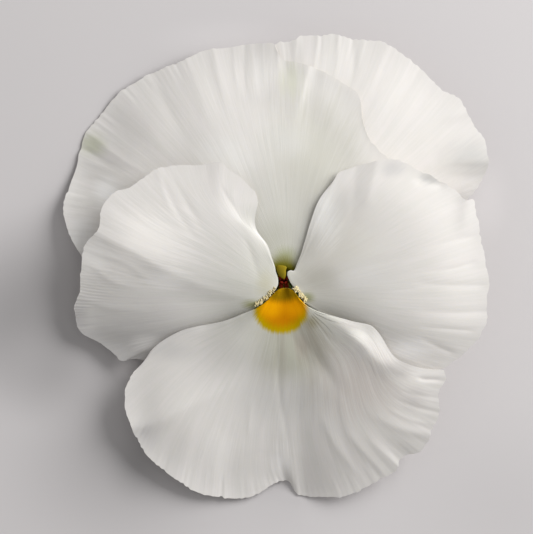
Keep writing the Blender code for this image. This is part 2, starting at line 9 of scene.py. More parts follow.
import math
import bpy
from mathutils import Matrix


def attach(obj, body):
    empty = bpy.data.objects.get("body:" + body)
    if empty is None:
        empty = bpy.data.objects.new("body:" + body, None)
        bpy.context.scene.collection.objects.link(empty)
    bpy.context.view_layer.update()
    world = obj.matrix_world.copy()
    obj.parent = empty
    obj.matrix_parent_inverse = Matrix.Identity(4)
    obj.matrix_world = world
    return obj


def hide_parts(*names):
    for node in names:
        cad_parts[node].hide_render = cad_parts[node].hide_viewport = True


bl_info = {
    "name": "White viola blossom",
    "version": (1, 0, 0),
    "blender": (4, 5, 0),
    "location": "View3D > Sidebar > Viola",
    "description": "Petals, beard, stigma, anthers, sepals and stalk of a white viola, with its stage",
    "category": "Add Mesh",
}

import bpy
import numpy as np
from bpy.props import FloatProperty, FloatVectorProperty, IntProperty, PointerProperty
from mathutils import Vector

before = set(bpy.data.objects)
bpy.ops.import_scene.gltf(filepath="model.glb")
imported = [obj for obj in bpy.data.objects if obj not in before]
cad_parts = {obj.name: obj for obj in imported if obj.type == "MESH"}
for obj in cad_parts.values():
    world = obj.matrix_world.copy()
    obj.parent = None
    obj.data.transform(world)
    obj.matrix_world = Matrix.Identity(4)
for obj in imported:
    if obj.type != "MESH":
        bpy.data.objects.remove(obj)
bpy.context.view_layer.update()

MM = 0.001
SHARP_ANGLE = math.radians(50)

# How a petal lies: its clearance over the next one and over the ground, and the coarse net on which it
# is settled, with its rows closer together near the throat.
LAYER_GAP = 0.28
GROUND_CLEARANCE = 0.16
SETTLE_ROUNDS = 5
NET_COLUMNS = 22
NET_ROWS = 10
ROW_SPREAD = 1.25
# The rim's broad course reaches all of the limb; its notches and corners fade out with this power.
BROAD_POINTS = 6
NOTCH_POWER = 7
CREASE_STEPS = 48
CREASE_POWER = 1.6
# Pleats too many to name: height, the width that each takes at the rim, knots on the way out, whether
# they are only near the rim, and whether they come in patches of the width below.
PLEATS = [
    (0.05, 4.2, 4, False, False),
    (0.028, 1.6, 4, False, True),
    (0.009, 0.7, 7, False, False),
    (0.034, 2.4, 3, True, True),
    (0.014, 0.9, 3, True, False),
]
PATCH_WIDTH = 7
# The teeth of the rim: their share of the crimp, and their width; and where on the way out they start.
TEETH = [(1.0, 0.42), (1.3, 1.4)]
TEETH_START = 0.88
RIM_SEED = 11
# A petal thins from here on its way out, and this near its side edges.
THIN_START = 0.8
THIN_MARGIN = 0.08

# The foot of the pistil in the blossom's own millimetres. The frame says where it stands in the scene.
PISTIL_FOOT = (0.0, 0.9, 5.25)
HEART = PISTIL_FOOT[:2]
CLAW_RADIUS = 1.5
CLAW_WIDTH = 1.1
CLAW_FOOT = 5.32
# A claw runs on level from its petal for this far, and this share of the way to above its foot.
CLAW_REACH = 1.3
CLAW_SHARE = 0.85

# The lip is the lower petal. Its claw folds down into the spur's mouth (its middle and its tilt) and
# takes this many degrees of it; the spur then bends to its own tilt and rounds off at its blunt end.
LIP = "lower_petal"
TONGUE_FOLD = (0.0, 0.12, -0.55)
SPUR_RADIUS = 1.02
SPUR_FRONT = 200.0
SPUR_MOUTH = ((0.0, -1.5, 6.6), 37.0)
SPUR_TILT = 16.0
SPUR_BLUNT = 0.76
SPUR_RINGS = 15
SPUR_PATH = [SPUR_MOUTH[0], (0.0, -2.05, 5.6), (0.0, -2.4, 4.4), (0.0, -2.75, 3.2), (0.0, -3.3, 1.45)]

# Each petal: the direction of its claw from the heart in degrees, and how far its lip line folds under,
# which the lip does without; its lip line and its rim, both clockwise as seen from the face, and its
# side edges, both outwards; and the net of heights, with a row for each quarter of the way out and five
# columns across. "creases" are the broad ridges and valleys, that the solid has too, and "fine" are the
# small ones. A crease is the line of its crest, its width on the left and on the right of that line,
# and its height at even steps along it.
PETALS = {
    "right_upper_petal": {
        "claw": 62,
        "fold": 0.0,
        "lip": [(1.0, 2.6), (1.35, 2.5), (1.7, 2.3)],
        "first": [(1.0, 2.6), (-1.6, 13.0), (-2.8, 23.0), (-2.6, 30.4)],
        "rim": [
            (-2.6, 30.4), (-2.6, 33.0), (-1.4, 34.4), (0.9, 34.9), (2.4, 35.6), (5.3, 35.7), (7.4, 35.9),
            (9.9, 35.0), (13.1, 34.9), (16.0, 33.6), (18.1, 32.1), (20.3, 30.3), (22.4, 27.9),
            (24.6, 26.9), (26.0, 25.3), (26.7, 23.6), (28.6, 20.6), (29.1, 18.6), (28.7, 15.6),
            (26.7, 12.8), (24.0, 10.3), (22.5, 8.5),
        ],
        "last": [(1.7, 2.3), (8.0, 4.8), (15.5, 6.7), (22.5, 8.5)],
        "heights": [
            (6.7, 6.7, 6.7, 6.7, 6.7),
            (6.4, 6.4, 6.7, 6.5, 6.2),
            (5.8, 5.8, 6.1, 5.7, 4.6),
            (4.7, 5.0, 5.5, 4.6, 2.6),
            (3.1, 4.0, 4.7, 4.1, 0.3),
        ],
        "creases": [
            ([(21.8, 17.0), (25.3, 17.8), (29.0, 17.5)], 3.0, 1.4, (0.13, 0.39, 0.45)),
        ],
        "fine": [
            ([(24.4, 16.3), (27.5, 16.2)], 0.4, 0.3, (0.04, 0.06)),
            ([(22.4, 23.3), (25.0, 24.3), (26.8, 24.9)], 0.7, 0.6, (0, 0.1, 0.13)),
            ([(1.9, 35.6), (1.6, 32.6)], 0.5, 0.8, (0.13, 0.04)),
            ([(4.9, 35.6), (4.3, 31.0), (3.6, 28.0)], 0.35, 0.5, (0.07, 0.04, 0)),
            ([(7.9, 35.8), (7.6, 31.5), (6.8, 28.5)], 0.4, 0.5, (0.08, 0.04, 0)),
            ([(9.9, 35.0), (9.9, 30.0), (8.6, 27.0)], 0.5, 0.7, (-0.07, -0.06, 0)),
            ([(14.8, 34.2), (12.8, 29.5), (10.9, 26.5)], 0.6, 0.8, (0.06, 0.05, 0)),
            ([(19.4, 31.0), (16.4, 26.5), (13.0, 22.0)], 0.8, 1.0, (-0.06, -0.06, 0)),
        ],
        "pleats": 0.85,
        "seed": 3,
    },
    "left_upper_petal": {
        "claw": 118,
        "fold": 0.0,
        "lip": [(-1.5, 2.75), (-0.5, 3.0), (0.6, 2.85), (1.7, 2.2)],
        "first": [(-1.5, 2.75), (-9.0, 2.4), (-18.0, 1.2), (-26.5, 0.5)],
        "rim": [
            (-26.5, 0.5), (-29.3, 4.8), (-31.0, 8.1), (-31.6, 11.4), (-30.4, 15.0), (-29.2, 18.9),
            (-28.7, 21.4), (-26.1, 24.7), (-24.6, 26.7), (-20.4, 29.7), (-14.7, 32.1), (-11.9, 33.5),
            (-7.6, 34.1), (-3.0, 34.7), (-1.5, 34.6), (-0.8, 33.2), (0.2, 32.1), (2.4, 31.7),
            (4.4, 31.0), (8.9, 28.6), (10.7, 27.0), (11.3, 23.6), (12.3, 20.6), (15.0, 17.9),
            (16.8, 15.8),
        ],
        "last": [(1.7, 2.2), (2.8, 3.2), (4.0, 4.6), (6.8, 7.6), (12.0, 12.2), (16.8, 15.8)],
        "heights": [
            (7.5, 7.5, 7.5, 7.5, 7.5),
            (6.4, 6.5, 7.0, 7.4, 8.0),
            (5.6, 5.2, 6.2, 6.9, 8.1),
            (5.0, 3.4, 4.0, 5.3, 8.0),
            (4.4, 0.3, 1.6, 4.0, 7.8),
        ],
        "creases": [
            (
                [(-24.3, 26.7), (-21.1, 24.7), (-18.7, 22.1), (-17.3, 19.3)],
                1.8, 3.0, (0.05, 0.1, 0.1, 0.06),
            ),
            ([(-14.0, 31.9), (-11.9, 27.1), (-10.4, 22.1)], 1.8, 2.4, (0.18, 0.18, 0.05)),
            ([(3.5, 31.3), (2.7, 28.0), (1.9, 25.0), (1.4, 22.5)], 0.8, 2.6, (0.3, 0.26, 0.14, 0.04)),
        ],
        "fine": [
            ([(-19.0, 29.9), (-16.1, 24.7), (-14.0, 21.0)], 1.0, 1.0, (-0.07, -0.09, -0.03)),
            ([(-10.1, 33.0), (-9.0, 28.6), (-8.0, 25.0)], 1.4, 0.7, (0.07, 0.09, 0.03)),
            ([(-2.9, 34.8), (-2.7, 31.0), (-2.4, 27.0)], 1.8, 0.6, (0.08, 0.07, 0.01)),
            ([(0.1, 32.2), (0.1, 28.0), (0.3, 23.0)], 0.8, 0.8, (-0.05, -0.04, 0)),
            ([(-27.6, 21.5), (-24.0, 18.6), (-20.4, 16.4)], 0.45, 0.45, (0.04, 0.05, 0.03)),
            ([(-28.6, 19.6), (-25.0, 17.3), (-22.0, 15.9)], 0.5, 0.5, (-0.06, -0.05, 0)),
            ([(-29.4, 17.9), (-26.0, 17.0), (-22.5, 15.2)], 0.4, 0.4, (0.03, 0.04, 0)),
            ([(-30.4, 15.4), (-26.5, 15.0), (-23.5, 13.9)], 0.4, 0.5, (-0.04, -0.04, 0)),
            ([(-31.3, 12.6), (-28.0, 12.6), (-25.0, 12.6)], 0.4, 0.4, (0.04, 0.04, 0)),
            ([(-31.5, 11.0), (-28.0, 11.0), (-25.0, 11.3)], 0.35, 0.4, (-0.04, -0.04, 0)),
            ([(-5.6, 34.4), (-5.6, 30.0), (-5.2, 26.0)], 0.4, 0.5, (-0.05, -0.04, 0)),
            ([(-7.2, 34.1), (-6.9, 30.0), (-6.2, 26.0)], 0.4, 0.4, (0.04, 0.04, 0)),
        ],
        "pleats": 0.5,
        "seed": 5,
    },
    "left_side_petal": {
        "claw": 176,
        "fold": 0.55,
        "lip": [
            (-3.2, -2.45), (-2.5, -1.85), (-1.8, -1.15), (-1.2, -0.5), (-0.9, 0.1), (-0.87, 0.8),
            (-1.1, 1.7),
        ],
        "first": [(-3.2, -2.45), (-4.4, -3.5), (-5.7, -4.5), (-8.5, -5.9), (-15.0, -9.0), (-19.9, -10.7)],
        "rim": [
            (-19.9, -10.7), (-21.7, -10.5), (-23.1, -10.8), (-24.4, -9.6), (-26.9, -7.9),
            (-29.0, -6.7), (-29.9, -3.6), (-29.1, -0.7), (-29.0, 2.1), (-28.3, 5.7), (-26.4, 8.0),
            (-25.8, 11.0), (-24.0, 13.3), (-21.9, 14.0), (-18.2, 16.5), (-16.1, 17.0),
            (-11.9, 17.1), (-9.0, 17.4), (-7.3, 16.1), (-5.4, 14.7), (-4.0, 13.1), (-3.6, 11.7),
        ],
        "last": [
            (-1.1, 1.7), (-1.3, 2.8), (-1.6, 3.7), (-2.3, 5.7), (-3.7, 7.6), (-4.1, 9.0), (-3.9, 10.6),
            (-3.6, 11.7),
        ],
        "heights": [
            (8.0, 8.1, 8.2, 8.2, 8.2),
            (6.2, 7.2, 8.2, 8.5, 8.5),
            (5.0, 6.6, 7.7, 8.2, 8.3),
            (4.0, 5.8, 7.2, 7.6, 7.9),
            (3.4, 5.1, 6.9, 7.3, 7.8),
        ],
        "creases": [
            (
                [
                    (-26.8, 7.9), (-24.4, 6.5), (-21.2, 4.9), (-17.6, 2.8), (-11.9, 0.3), (-7.6, -1.1),
                    (-5.2, -1.7),
                ],
                5.0, 1.8, (0.5, 0.58, 0.52, 0.42, 0.36, 0.3),
            ),
            ([(-9.1, 17.4), (-9.3, 13.6), (-8.7, 10.0), (-6.9, 5.0)], 3.0, 1.8, (0.24, 0.12, 0.05, 0.04)),
            (
                [(-33.3, -0.9), (-30.4, -5.1), (-27.5, -9.3), (-24.6, -13.4)],
                7.5, 3.0, (-0.8, -2.0, -2.2, -1.5),
            ),
        ],
        "fine": [
            ([(-27.6, 5.0), (-25.4, 4.3), (-21.9, 2.9), (-19.7, 1.1)], 0.8, 0.5, (0.03, 0.08, 0.08, 0.03)),
            ([(-28.6, 3.0), (-26.9, 2.4), (-24.7, 0.7), (-21.1, -0.3)], 0.8, 0.5, (0.03, 0.08, 0.08, 0.03)),
            (
                [(-29.2, -1.6), (-27.9, -2.1), (-24.7, -3.3), (-20.4, -3.4)],
                0.9, 0.5, (0.03, 0.07, 0.08, 0.03),
            ),
            ([(-17.1, 14.3), (-15.0, 10.3), (-12.6, 6.7)], 0.6, 0.6, (-0.03, -0.05, -0.02)),
            ([(-15.6, 14.9), (-13.0, 10.4), (-11.6, 8.1)], 0.6, 0.6, (-0.02, -0.06, -0.02)),
            ([(-17.9, 16.6), (-16.6, 12.0), (-14.0, 7.6)], 0.5, 0.5, (0.03, 0.04, 0)),
            ([(-8.7, 13.6), (-7.3, 11.4), (-6.1, 9.3)], 0.35, 0.35, (-0.03, -0.04, -0.02)),
            ([(-5.4, 6.4), (-4.4, 3.8), (-3.6, 1.4)], 0.6, 0.6, (-0.04, -0.07, -0.03)),
            ([(-24.0, -5.6), (-18.0, -5.0), (-12.0, -3.6)], 0.8, 0.7, (-0.04, -0.04, 0)),
        ],
        "pleats": 0.45,
        "seed": 7,
    },
    "right_side_petal": {
        "claw": 4,
        "fold": 0.55,
        "lip": [
            (0.6, 2.0), (0.58, 1.5), (0.78, 0.95), (1.05, 0.4), (1.5, -0.2), (2.0, -0.9), (2.5, -1.6),
            (2.9, -2.4),
        ],
        "first": [
            (0.6, 2.0), (0.95, 2.15), (1.42, 2.1), (1.85, 3.0), (2.5, 4.6), (3.9, 9.3), (5.0, 12.1),
            (7.1, 14.9),
        ],
        "rim": [
            (7.1, 14.9), (7.9, 16.1), (11.0, 17.1), (14.6, 17.9), (16.7, 17.6), (19.9, 15.9),
            (23.4, 14.1), (25.9, 12.1), (26.8, 12.2), (27.3, 10.0), (28.4, 4.3), (29.0, 0.6),
            (28.7, -2.1), (28.6, -5.7), (26.7, -8.6), (23.9, -11.0), (20.5, -13.0),
        ],
        "last": [(2.9, -2.4), (8.0, -6.0), (14.0, -10.2), (20.5, -13.0)],
        "heights": [
            (8.4, 8.3, 8.2, 8.2, 8.0),
            (8.2, 9.1, 9.5, 9.0, 7.4),
            (8.1, 9.5, 10.1, 9.5, 7.2),
            (8.2, 9.8, 10.5, 9.7, 7.3),
            (8.2, 9.4, 9.9, 9.3, 6.9),
        ],
        "creases": [
            ([(2.4, 4.3), (3.9, 9.3), (5.0, 12.1), (6.8, 14.6)], 1.8, 1.8, (0.05, 0.15, 0.2, 0.1)),
        ],
        "fine": [
            ([(19.4, 14.9), (22.1, 14.3)], 0.6, 0.6, (-0.16, -0.18)),
            ([(26.0, 12.3), (25.6, 9.5), (25.1, 7.0)], 1.5, 0.9, (0.22, 0.18, 0)),
            ([(10.3, 17.0), (10.0, 13.0), (9.6, 9.3)], 1.1, 1.1, (-0.08, -0.09, -0.04)),
            ([(13.2, 17.6), (11.9, 12.1)], 0.8, 0.8, (0.09, 0.05)),
            ([(20.5, 1.9), (23.7, 2.4), (26.6, 3.2)], 0.4, 0.5, (-0.02, -0.08, -0.08)),
            ([(19.5, 0.3), (22.0, 0.1), (28.0, 0.0)], 0.5, 0.5, (-0.04, -0.07, -0.07)),
            ([(20.0, -3.7), (24.0, -3.8), (28.4, -3.7)], 0.8, 0.8, (-0.04, -0.11, -0.11)),
            ([(19.6, -5.9), (23.0, -6.1), (26.6, -6.4)], 0.35, 0.35, (-0.02, -0.06, -0.06)),
            ([(19.6, -7.5), (21.5, -8.5), (23.6, -9.4)], 0.4, 0.4, (-0.02, -0.08, -0.08)),
            ([(19.4, 5.0), (23.9, 6.4), (27.0, 7.0)], 0.5, 0.5, (-0.02, -0.06, -0.04)),
            ([(6.0, 1.0), (14.0, 3.4), (20.0, 4.6)], 1.0, 1.0, (-0.04, -0.07, 0)),
        ],
        "pleats": 0.68,
        "seed": 9,
    },
    LIP: {
        "lip": [
            (3.05, -3.0), (2.4, -2.2), (1.8, -1.4), (1.3, -0.8), (0.8, -0.5), (0.15, -0.42), (-0.45, -0.5),
            (-0.9, -0.75), (-1.35, -1.15), (-1.9, -1.72), (-2.5, -2.38), (-3.3, -3.05),
        ],
        "first": [
            (3.05, -3.0), (5.6, -3.9), (9.9, -5.1), (12.4, -5.7), (13.6, -6.9), (15.6, -10.0),
            (17.4, -11.1), (20.0, -11.8), (22.7, -12.0),
        ],
        "rim": [
            (22.7, -12.0), (23.1, -13.2), (22.2, -15.0), (22.1, -17.9), (21.4, -20.4), (19.6, -23.4),
            (16.8, -24.8), (15.9, -26.6), (13.6, -27.9), (10.6, -29.6), (7.4, -30.4), (3.9, -30.4),
            (1.9, -29.9), (0.6, -28.0), (-1.1, -28.4), (-3.6, -29.8), (-6.1, -30.6), (-11.9, -29.8),
            (-16.1, -27.2), (-19.6, -24.3), (-22.0, -19.6), (-22.6, -15.7), (-21.6, -12.6),
            (-20.1, -11.3),
        ],
        "last": [
            (-3.3, -3.05), (-5.7, -3.97), (-8.3, -5.0), (-14.7, -6.5), (-18.6, -9.0), (-20.1, -11.3),
        ],
        "heights": [
            (8.2, 8.0, 7.9, 8.0, 8.1),
            (8.6, 7.9, 7.0, 6.7, 7.0),
            (8.4, 7.4, 5.3, 5.0, 6.0),
            (8.2, 5.5, 2.9, 4.0, 5.2),
            (7.6, 3.2, 0.3, 2.4, 4.6),
        ],
        "creases": [
            (
                [(4.4, -3.7), (8.9, -6.4), (11.0, -8.3), (12.7, -10.1), (14.6, -11.3), (18.9, -13.3)],
                1.6, 2.0, (0.15, 0.6, 0.82, 0.62, 0.25, 0.0),
            ),
            ([(2.1, -6.4), (3.9, -9.3), (6.0, -12.1), (8.9, -16.4)], 1.3, 1.3, (-0.2, -0.25, -0.18, 0)),
            ([(1.8, -14.0), (2.4, -22.0), (3.0, -30.0)], 2.4, 2.2, (0, -0.25, -0.45)),
            (
                [(-21.9, -20.4), (-19.0, -19.9), (-11.9, -16.4), (-8.3, -14.7)],
                2.0, 1.2, (0.42, 0.42, 0.26, 0.09),
            ),
        ],
        "fine": [
            (
                [(-0.9, -7.5), (-0.75, -13.2), (-0.3, -17.5), (0.3, -20.3), (1.0, -24.5)],
                0.45, 0.5, (-0.03, -0.06, -0.07, -0.05, -0.02),
            ),
            ([(-0.8, -12.0), (-0.7, -20.0), (-0.2, -27.8)], 1.6, 3.0, (0.02, 0.06, 0.06)),
            ([(-0.8, -24.6), (-1.0, -26.6), (-1.0, -28.6)], 2.3, 3.4, (0.08, 0.32, 0.5)),
            ([(0.9, -6.6), (2.1, -8.8), (3.9, -11.6)], 1.1, 1.4, (-0.08, -0.2, -0.1)),
            ([(-4.7, -17.1), (-5.0, -20.7)], 0.4, 0.4, (0.04, 0.04)),
            ([(5.6, -19.3), (7.4, -22.9), (9.6, -25.7), (11.4, -28.8)], 0.8, 0.6, (0.07, 0.1, 0.07, 0.04)),
            ([(9.1, -21.1), (11.0, -23.3), (14.0, -26.6)], 0.7, 0.5, (0.04, 0.09, 0.07)),
            ([(12.6, -18.6), (17.4, -20.7), (20.9, -21.4)], 1.0, 0.6, (0.04, 0.11, 0.16)),
            ([(12.6, -22.3), (15.0, -24.6), (16.4, -26.0)], 0.9, 0.6, (0.04, 0.13, 0.14)),
            ([(19.6, -13.3), (22.2, -13.4)], 0.35, 0.3, (-0.16, -0.13)),
            ([(16.4, -16.4), (19.0, -17.4), (21.9, -18.0)], 0.35, 0.3, (-0.04, -0.07, -0.07)),
            ([(17.4, -15.2), (20.0, -15.8), (22.0, -16.0)], 0.35, 0.3, (-0.04, -0.07, -0.06)),
            ([(15.4, -17.9), (18.6, -19.3), (21.6, -19.9)], 0.35, 0.3, (0.03, 0.06, 0.05)),
            ([(-15.3, -28.0), (-14.0, -24.3), (-13.3, -20.7)], 2.4, 1.6, (0.14, 0.13, 0.04)),
            ([(-10.6, -30.3), (-10.0, -26.0), (-8.6, -21.0)], 0.9, 0.9, (0.06, 0.05, 0)),
            ([(-6.2, -4.3), (-8.3, -5.1), (-10.5, -5.6)], 0.5, 0.5, (0.07, 0.13, 0.04)),
        ],
        "pleats": 0.72,
        "seed": 13,
    },
}

# (place, half width, half depth) of each ring of the pistil, from the ovary to the head of the stigma.
PISTIL = [
    (PISTIL_FOOT, 0.3, 0.3), ((0.0, 0.9, 5.4), 0.46, 0.46), ((0.0, 0.9, 6.0), 0.54, 0.54),
    ((0.0, 0.9, 6.5), 0.42, 0.42), ((0.02, 0.88, 6.9), 0.2, 0.2), ((0.03, 0.85, 7.4), 0.15, 0.15),
    ((0.03, 0.85, 7.8), 0.15, 0.15), ((0.0, 1.0, 8.14), 0.18, 0.13), ((-0.08, 1.25, 8.3), 0.36, 0.16),
    ((-0.17, 1.55, 8.36), 0.5, 0.22), ((-0.25, 1.8, 8.4), 0.6, 0.26), ((-0.32, 2.1, 8.4), 0.66, 0.28),
    ((-0.33, 2.4, 8.38), 0.74, 0.28), ((-0.3, 2.65, 8.34), 0.76, 0.24), ((-0.27, 2.82, 8.3), 0.5, 0.15),
]

# (height, distance from the ring's middle, width, thickness) of each ring of a stamen.
STAMEN = [
    (5.3, 0.9, 0.32, 0.18), (5.5, 0.9, 0.58, 0.26), (6.3, 0.86, 0.66, 0.28), (7.0, 0.7, 0.62, 0.27),
    (7.45, 0.58, 0.6, 0.27), (7.75, 0.5, 0.57, 0.3), (7.95, 0.48, 0.46, 0.28),
]
ANTHER_RING = (0.03, 0.85)
# (y, height, sideways place, half width) of each ring of a nectar horn, from its anther to the spur.
HORN = [
    (0.4, 7.05, 0.34, 0.27), (0.1, 7.2, 0.38, 0.33), (-0.25, 7.15, 0.4, 0.34), (-0.65, 6.85, 0.39, 0.32),
    (-1.2, 6.4, 0.36, 0.27), (-1.75, 5.6, 0.34, 0.25), (-2.1, 4.7, 0.33, 0.24), (-2.3, 4.0, 0.33, 0.2),
]
HORN_FLATNESS = 0.7
# The direction of each stamen from the heart, in degrees.
STAMENS = {
    "stamen_top": 90,
    "stamen_left": 162,
    "stamen_lower_left": 234,
    "stamen_lower_right": 306,
    "stamen_right": 18,
}

# (distance from the heart, height, width) of each step along a sepal, from its ear to its tip; how far
# its sides rise where it is widest; the depth and half width of the rib under its middle.
SEPAL = [
    (2.75, 2.95, 0.9), (2.35, 3.35, 1.5), (2.05, 3.95, 1.5), (2.1, 4.6, 1.5), (2.7, 4.95, 1.7),
    (4.2, 5.1, 2.5), (6.4, 5.05, 3.3), (8.8, 4.7, 3.1), (11.0, 4.1, 2.0), (13.0, 3.3, 0.3),
]
SEPAL_CUP = 0.45
SEPAL_WIDEST = 3.3
SEPAL_RIB = (0.07, 0.12)
SEPAL_THICKNESS = 0.3
SEPALS = {
    "sepal_top": 90,
    "sepal_upper_left": 158,
    "sepal_lower_left": 221,
    "sepal_lower_right": 319,
    "sepal_upper_right": 22,
}

# The line that each beard grows from, with the direction of its hairs in degrees; the height of its
# roots; a hair's radius at even steps from root to tip, as a share of its knob's; and how many
# degrees the hairs stray from their direction.
BEARDS = {
    "left_beard": [(-4.0, -2.7, 255), (-2.6, -1.65, 290), (-1.92, -0.98, 310), (-1.32, -0.3, 340)],
    "right_beard": [(1.62, -0.28, 200), (2.1, -0.85, 220), (2.65, -1.5, 235), (3.2, -2.2, 250)],
}
HAIR_ROOT = 8.1
HAIR_SHAPE = (0.5, 0.5, 0.55, 0.7, 0.9, 1.0, 0.95, 0.7)
HAIR_SWAY = 16
BEARD_SEED = 17

# (height, radius) of each ring of the receptacle, and the stalk's course from there to its cut end.
RECEPTACLE = [(5.0, 1.4), (4.92, 1.62), (4.6, 1.7), (4.2, 1.6), (3.75, 1.2), (3.4, 0.97)]
STALK_PATH = [(0.0, 0.9, 3.4), (0.0, 1.25, 2.3), (-0.15, 2.3, 1.35), (-0.7, 4.6, 1.0), (-1.8, 8.2, 0.97)]
STALK_RADIUS = 0.95

# The width of a vein at the rim, how far out the green foot reaches on the two upper petals and on the
# others, and the gloss of the petals and of the lip. The green foot is the petals' greenish base, darkened
# to paint the shade where the claws dive into the throat.
VEIN_WIDTH = 0.45
UPPER_FOOT = 0.05
OTHER_FOOT = -0.03
PETAL_GLOSS = 0.25
LIP_GLOSS = 0.05
# The eye on the lip, with its brightest side and its right side, painted a brighter orange as painted light
# that lifts the shade its slope gets;
# the rays that fan out from it; and the olive throat, darkened to paint the shade inside it. Below these
# heights the eye's colour gives way to the spur's.
EYE_PLACE = (-0.42, -3.55, 7.6)
EYE_RADII = (3.7, 3.2, 12.0)
EYE_BRIGHT = (-1.9, -3.2, 7.6)
EYE_PAINTED_LIGHT = (1.7, -3.0, 7.6)
RAY_PLACE = (2.8, -10.0, 7.5)
RAY_RADII = (7.5, 9.0, 14.0)
# The olive throat: an olive tint, darkened to paint the shade inside the throat.
TONGUE_PLACE = (-0.35, -0.65, 8.6)
TONGUE_RADII = (3.5, 2.2, 12.0)
SPUR_FADE = (5.2, 6.0)
# Soft ovals on the petals' tissue: (place, radii, colour). A few are the greenish tint round the throat;
# most are painted shade, darker where petals fold away, dip under others or lie in their shadow, and
# painted light, paler ovals that lift shade off the petals.
TINTS_PAINTED_SHADE_AND_LIGHT = {
    "right_upper_petal": [
        ((27.0, 18.4, 4.0), (5.5, 4.0, 14.0), (0.61, 0.595, 0.57)),
        ((28.0, 12.6, 4.0), (3.0, 3.4, 14.0), (0.88, 0.85, 0.82)),
        ((1.2, 4.0, 7.0), (2.6, 2.6, 9.0), (0.28, 0.29, 0.14)),
    ],
    "right_side_petal": [
        ((7.0, 3.5, 8.6), (9.5, 12.0, 12.0), (0.64, 0.615, 0.562)),
        ((20.6, 15.3, 9.0), (2.4, 1.8, 10.0), (0.6, 0.585, 0.56)),
        ((5.0, 1.0, 8.6), (4.6, 2.6, 12.0), (0.56, 0.54, 0.48)),
        ((18.0, -8.8, 9.0), (4.4, 2.2, 12.0), (0.9, 0.87, 0.84)),
        ((12.0, 1.2, 9.0), (7.0, 4.0, 12.0), (0.68, 0.66, 0.63)),
        ((6.0, 10.0, 9.0), (3.2, 6.5, 12.0), (0.84, 0.82, 0.78)),
        ((15.6, 16.4, 9.0), (2.6, 1.6, 12.0), (0.66, 0.64, 0.62)),
        ((3.3, -1.7, 8.6), (1.6, 1.2, 9.0), (0.38, 0.39, 0.22)),
    ],
    "left_side_petal": [
        ((-22.0, -9.0, 4.0), (16.0, 10.0, 20.0), (0.60, 0.58, 0.56)),
        ((-19.6, 6.2, 6.0), (9.5, 7.0, 20.0), (0.93, 0.89, 0.84)),
        ((-27.2, 4.4, 5.0), (4.0, 4.4, 20.0), (0.88, 0.85, 0.81)),
        ((-29.6, -4.6, 4.0), (2.8, 4.6, 20.0), (0.50, 0.48, 0.47)),
        ((-16.8, 0.9, 6.0), (4.6, 2.2, 20.0), (0.88, 0.85, 0.81)),
        ((-2.6, 0.2, 8.0), (2.0, 3.2, 9.0), (0.57, 0.55, 0.44)),
        ((-19.4, -8.3, 8.0), (3.8, 1.9, 12.0), (0.86, 0.83, 0.8)),
        ((-4.6, 9.4, 8.0), (2.8, 3.4, 14.0), (0.64, 0.625, 0.58)),
        ((-4.3, -2.7, 8.0), (2.4, 1.0, 9.0), (0.38, 0.38, 0.20)),
    ],
    "left_upper_petal": [
        ((4.5, 18.0, 7.0), (11.0, 16.0, 20.0), (0.61, 0.595, 0.53)),
        ((-27.6, 20.3, 3.0), (3.2, 2.8, 20.0), (0.58, 0.58, 0.47)),
        ((-0.9, 6.9, 7.5), (3.8, 4.4, 9.0), (0.57, 0.56, 0.49)),
        ((-29.0, 6.4, 4.0), (3.4, 5.0, 20.0), (0.88, 0.86, 0.83)),
        ((-25.4, 13.2, 4.0), (2.8, 3.6, 20.0), (0.92, 0.9, 0.87)),
        ((-8.5, 18.0, 8.0), (6.5, 5.0, 12.0), (0.83, 0.81, 0.77)),
        ((0.0, 20.5, 8.0), (5.0, 3.6, 14.0), (0.67, 0.655, 0.61)),
        ((-3.0, 30.4, 7.0), (2.6, 4.6, 20.0), (0.87, 0.84, 0.8)),
        ((1.0, 29.4, 7.0), (2.6, 4.6, 20.0), (0.69, 0.68, 0.58)),
        ((0.3, 4.0, 8.0), (2.6, 2.2, 9.0), (0.40, 0.41, 0.25)),
    ],
    LIP: [
        ((0.9, -9.0, 7.0), (7.0, 11.0, 14.0), (0.51, 0.505, 0.42)),
        ((-0.5, -16.0, 6.0), (9.0, 5.0, 14.0), (0.67, 0.65, 0.62)),
        ((11.0, -14.0, 6.0), (9.0, 8.0, 12.0), (0.61, 0.567, 0.53)),
        ((16.2, -11.8, 8.0), (3.8, 2.0, 12.0), (0.57, 0.545, 0.52)),
        ((9.2, -5.6, 8.0), (2.4, 1.3, 12.0), (0.64, 0.61, 0.58)),
        ((11.2, -9.0, 8.0), (2.0, 1.6, 12.0), (0.66, 0.63, 0.6)),
        ((18.4, -16.2, 7.0), (3.4, 3.0, 12.0), (0.63, 0.6, 0.575)),
        ((-19.6, -21.6, 5.0), (3.0, 4.4, 12.0), (0.68, 0.655, 0.63)),
        ((-16.0, -9.4, 8.0), (4.6, 2.4, 12.0), (0.65, 0.63, 0.605)),
        ((-9.4, -24.0, 6.0), (3.4, 5.5, 14.0), (0.84, 0.81, 0.77)),
        ((-0.2, -25.4, 6.0), (2.2, 4.2, 14.0), (0.9, 0.87, 0.84)),
        ((3.8, -5.3, 8.0), (1.8, 1.4, 12.0), (0.40, 0.37, 0.24)),
        ((2.8, -8.5, 8.0), (1.6, 2.8, 12.0), (0.5, 0.455, 0.395)),
    ],
}

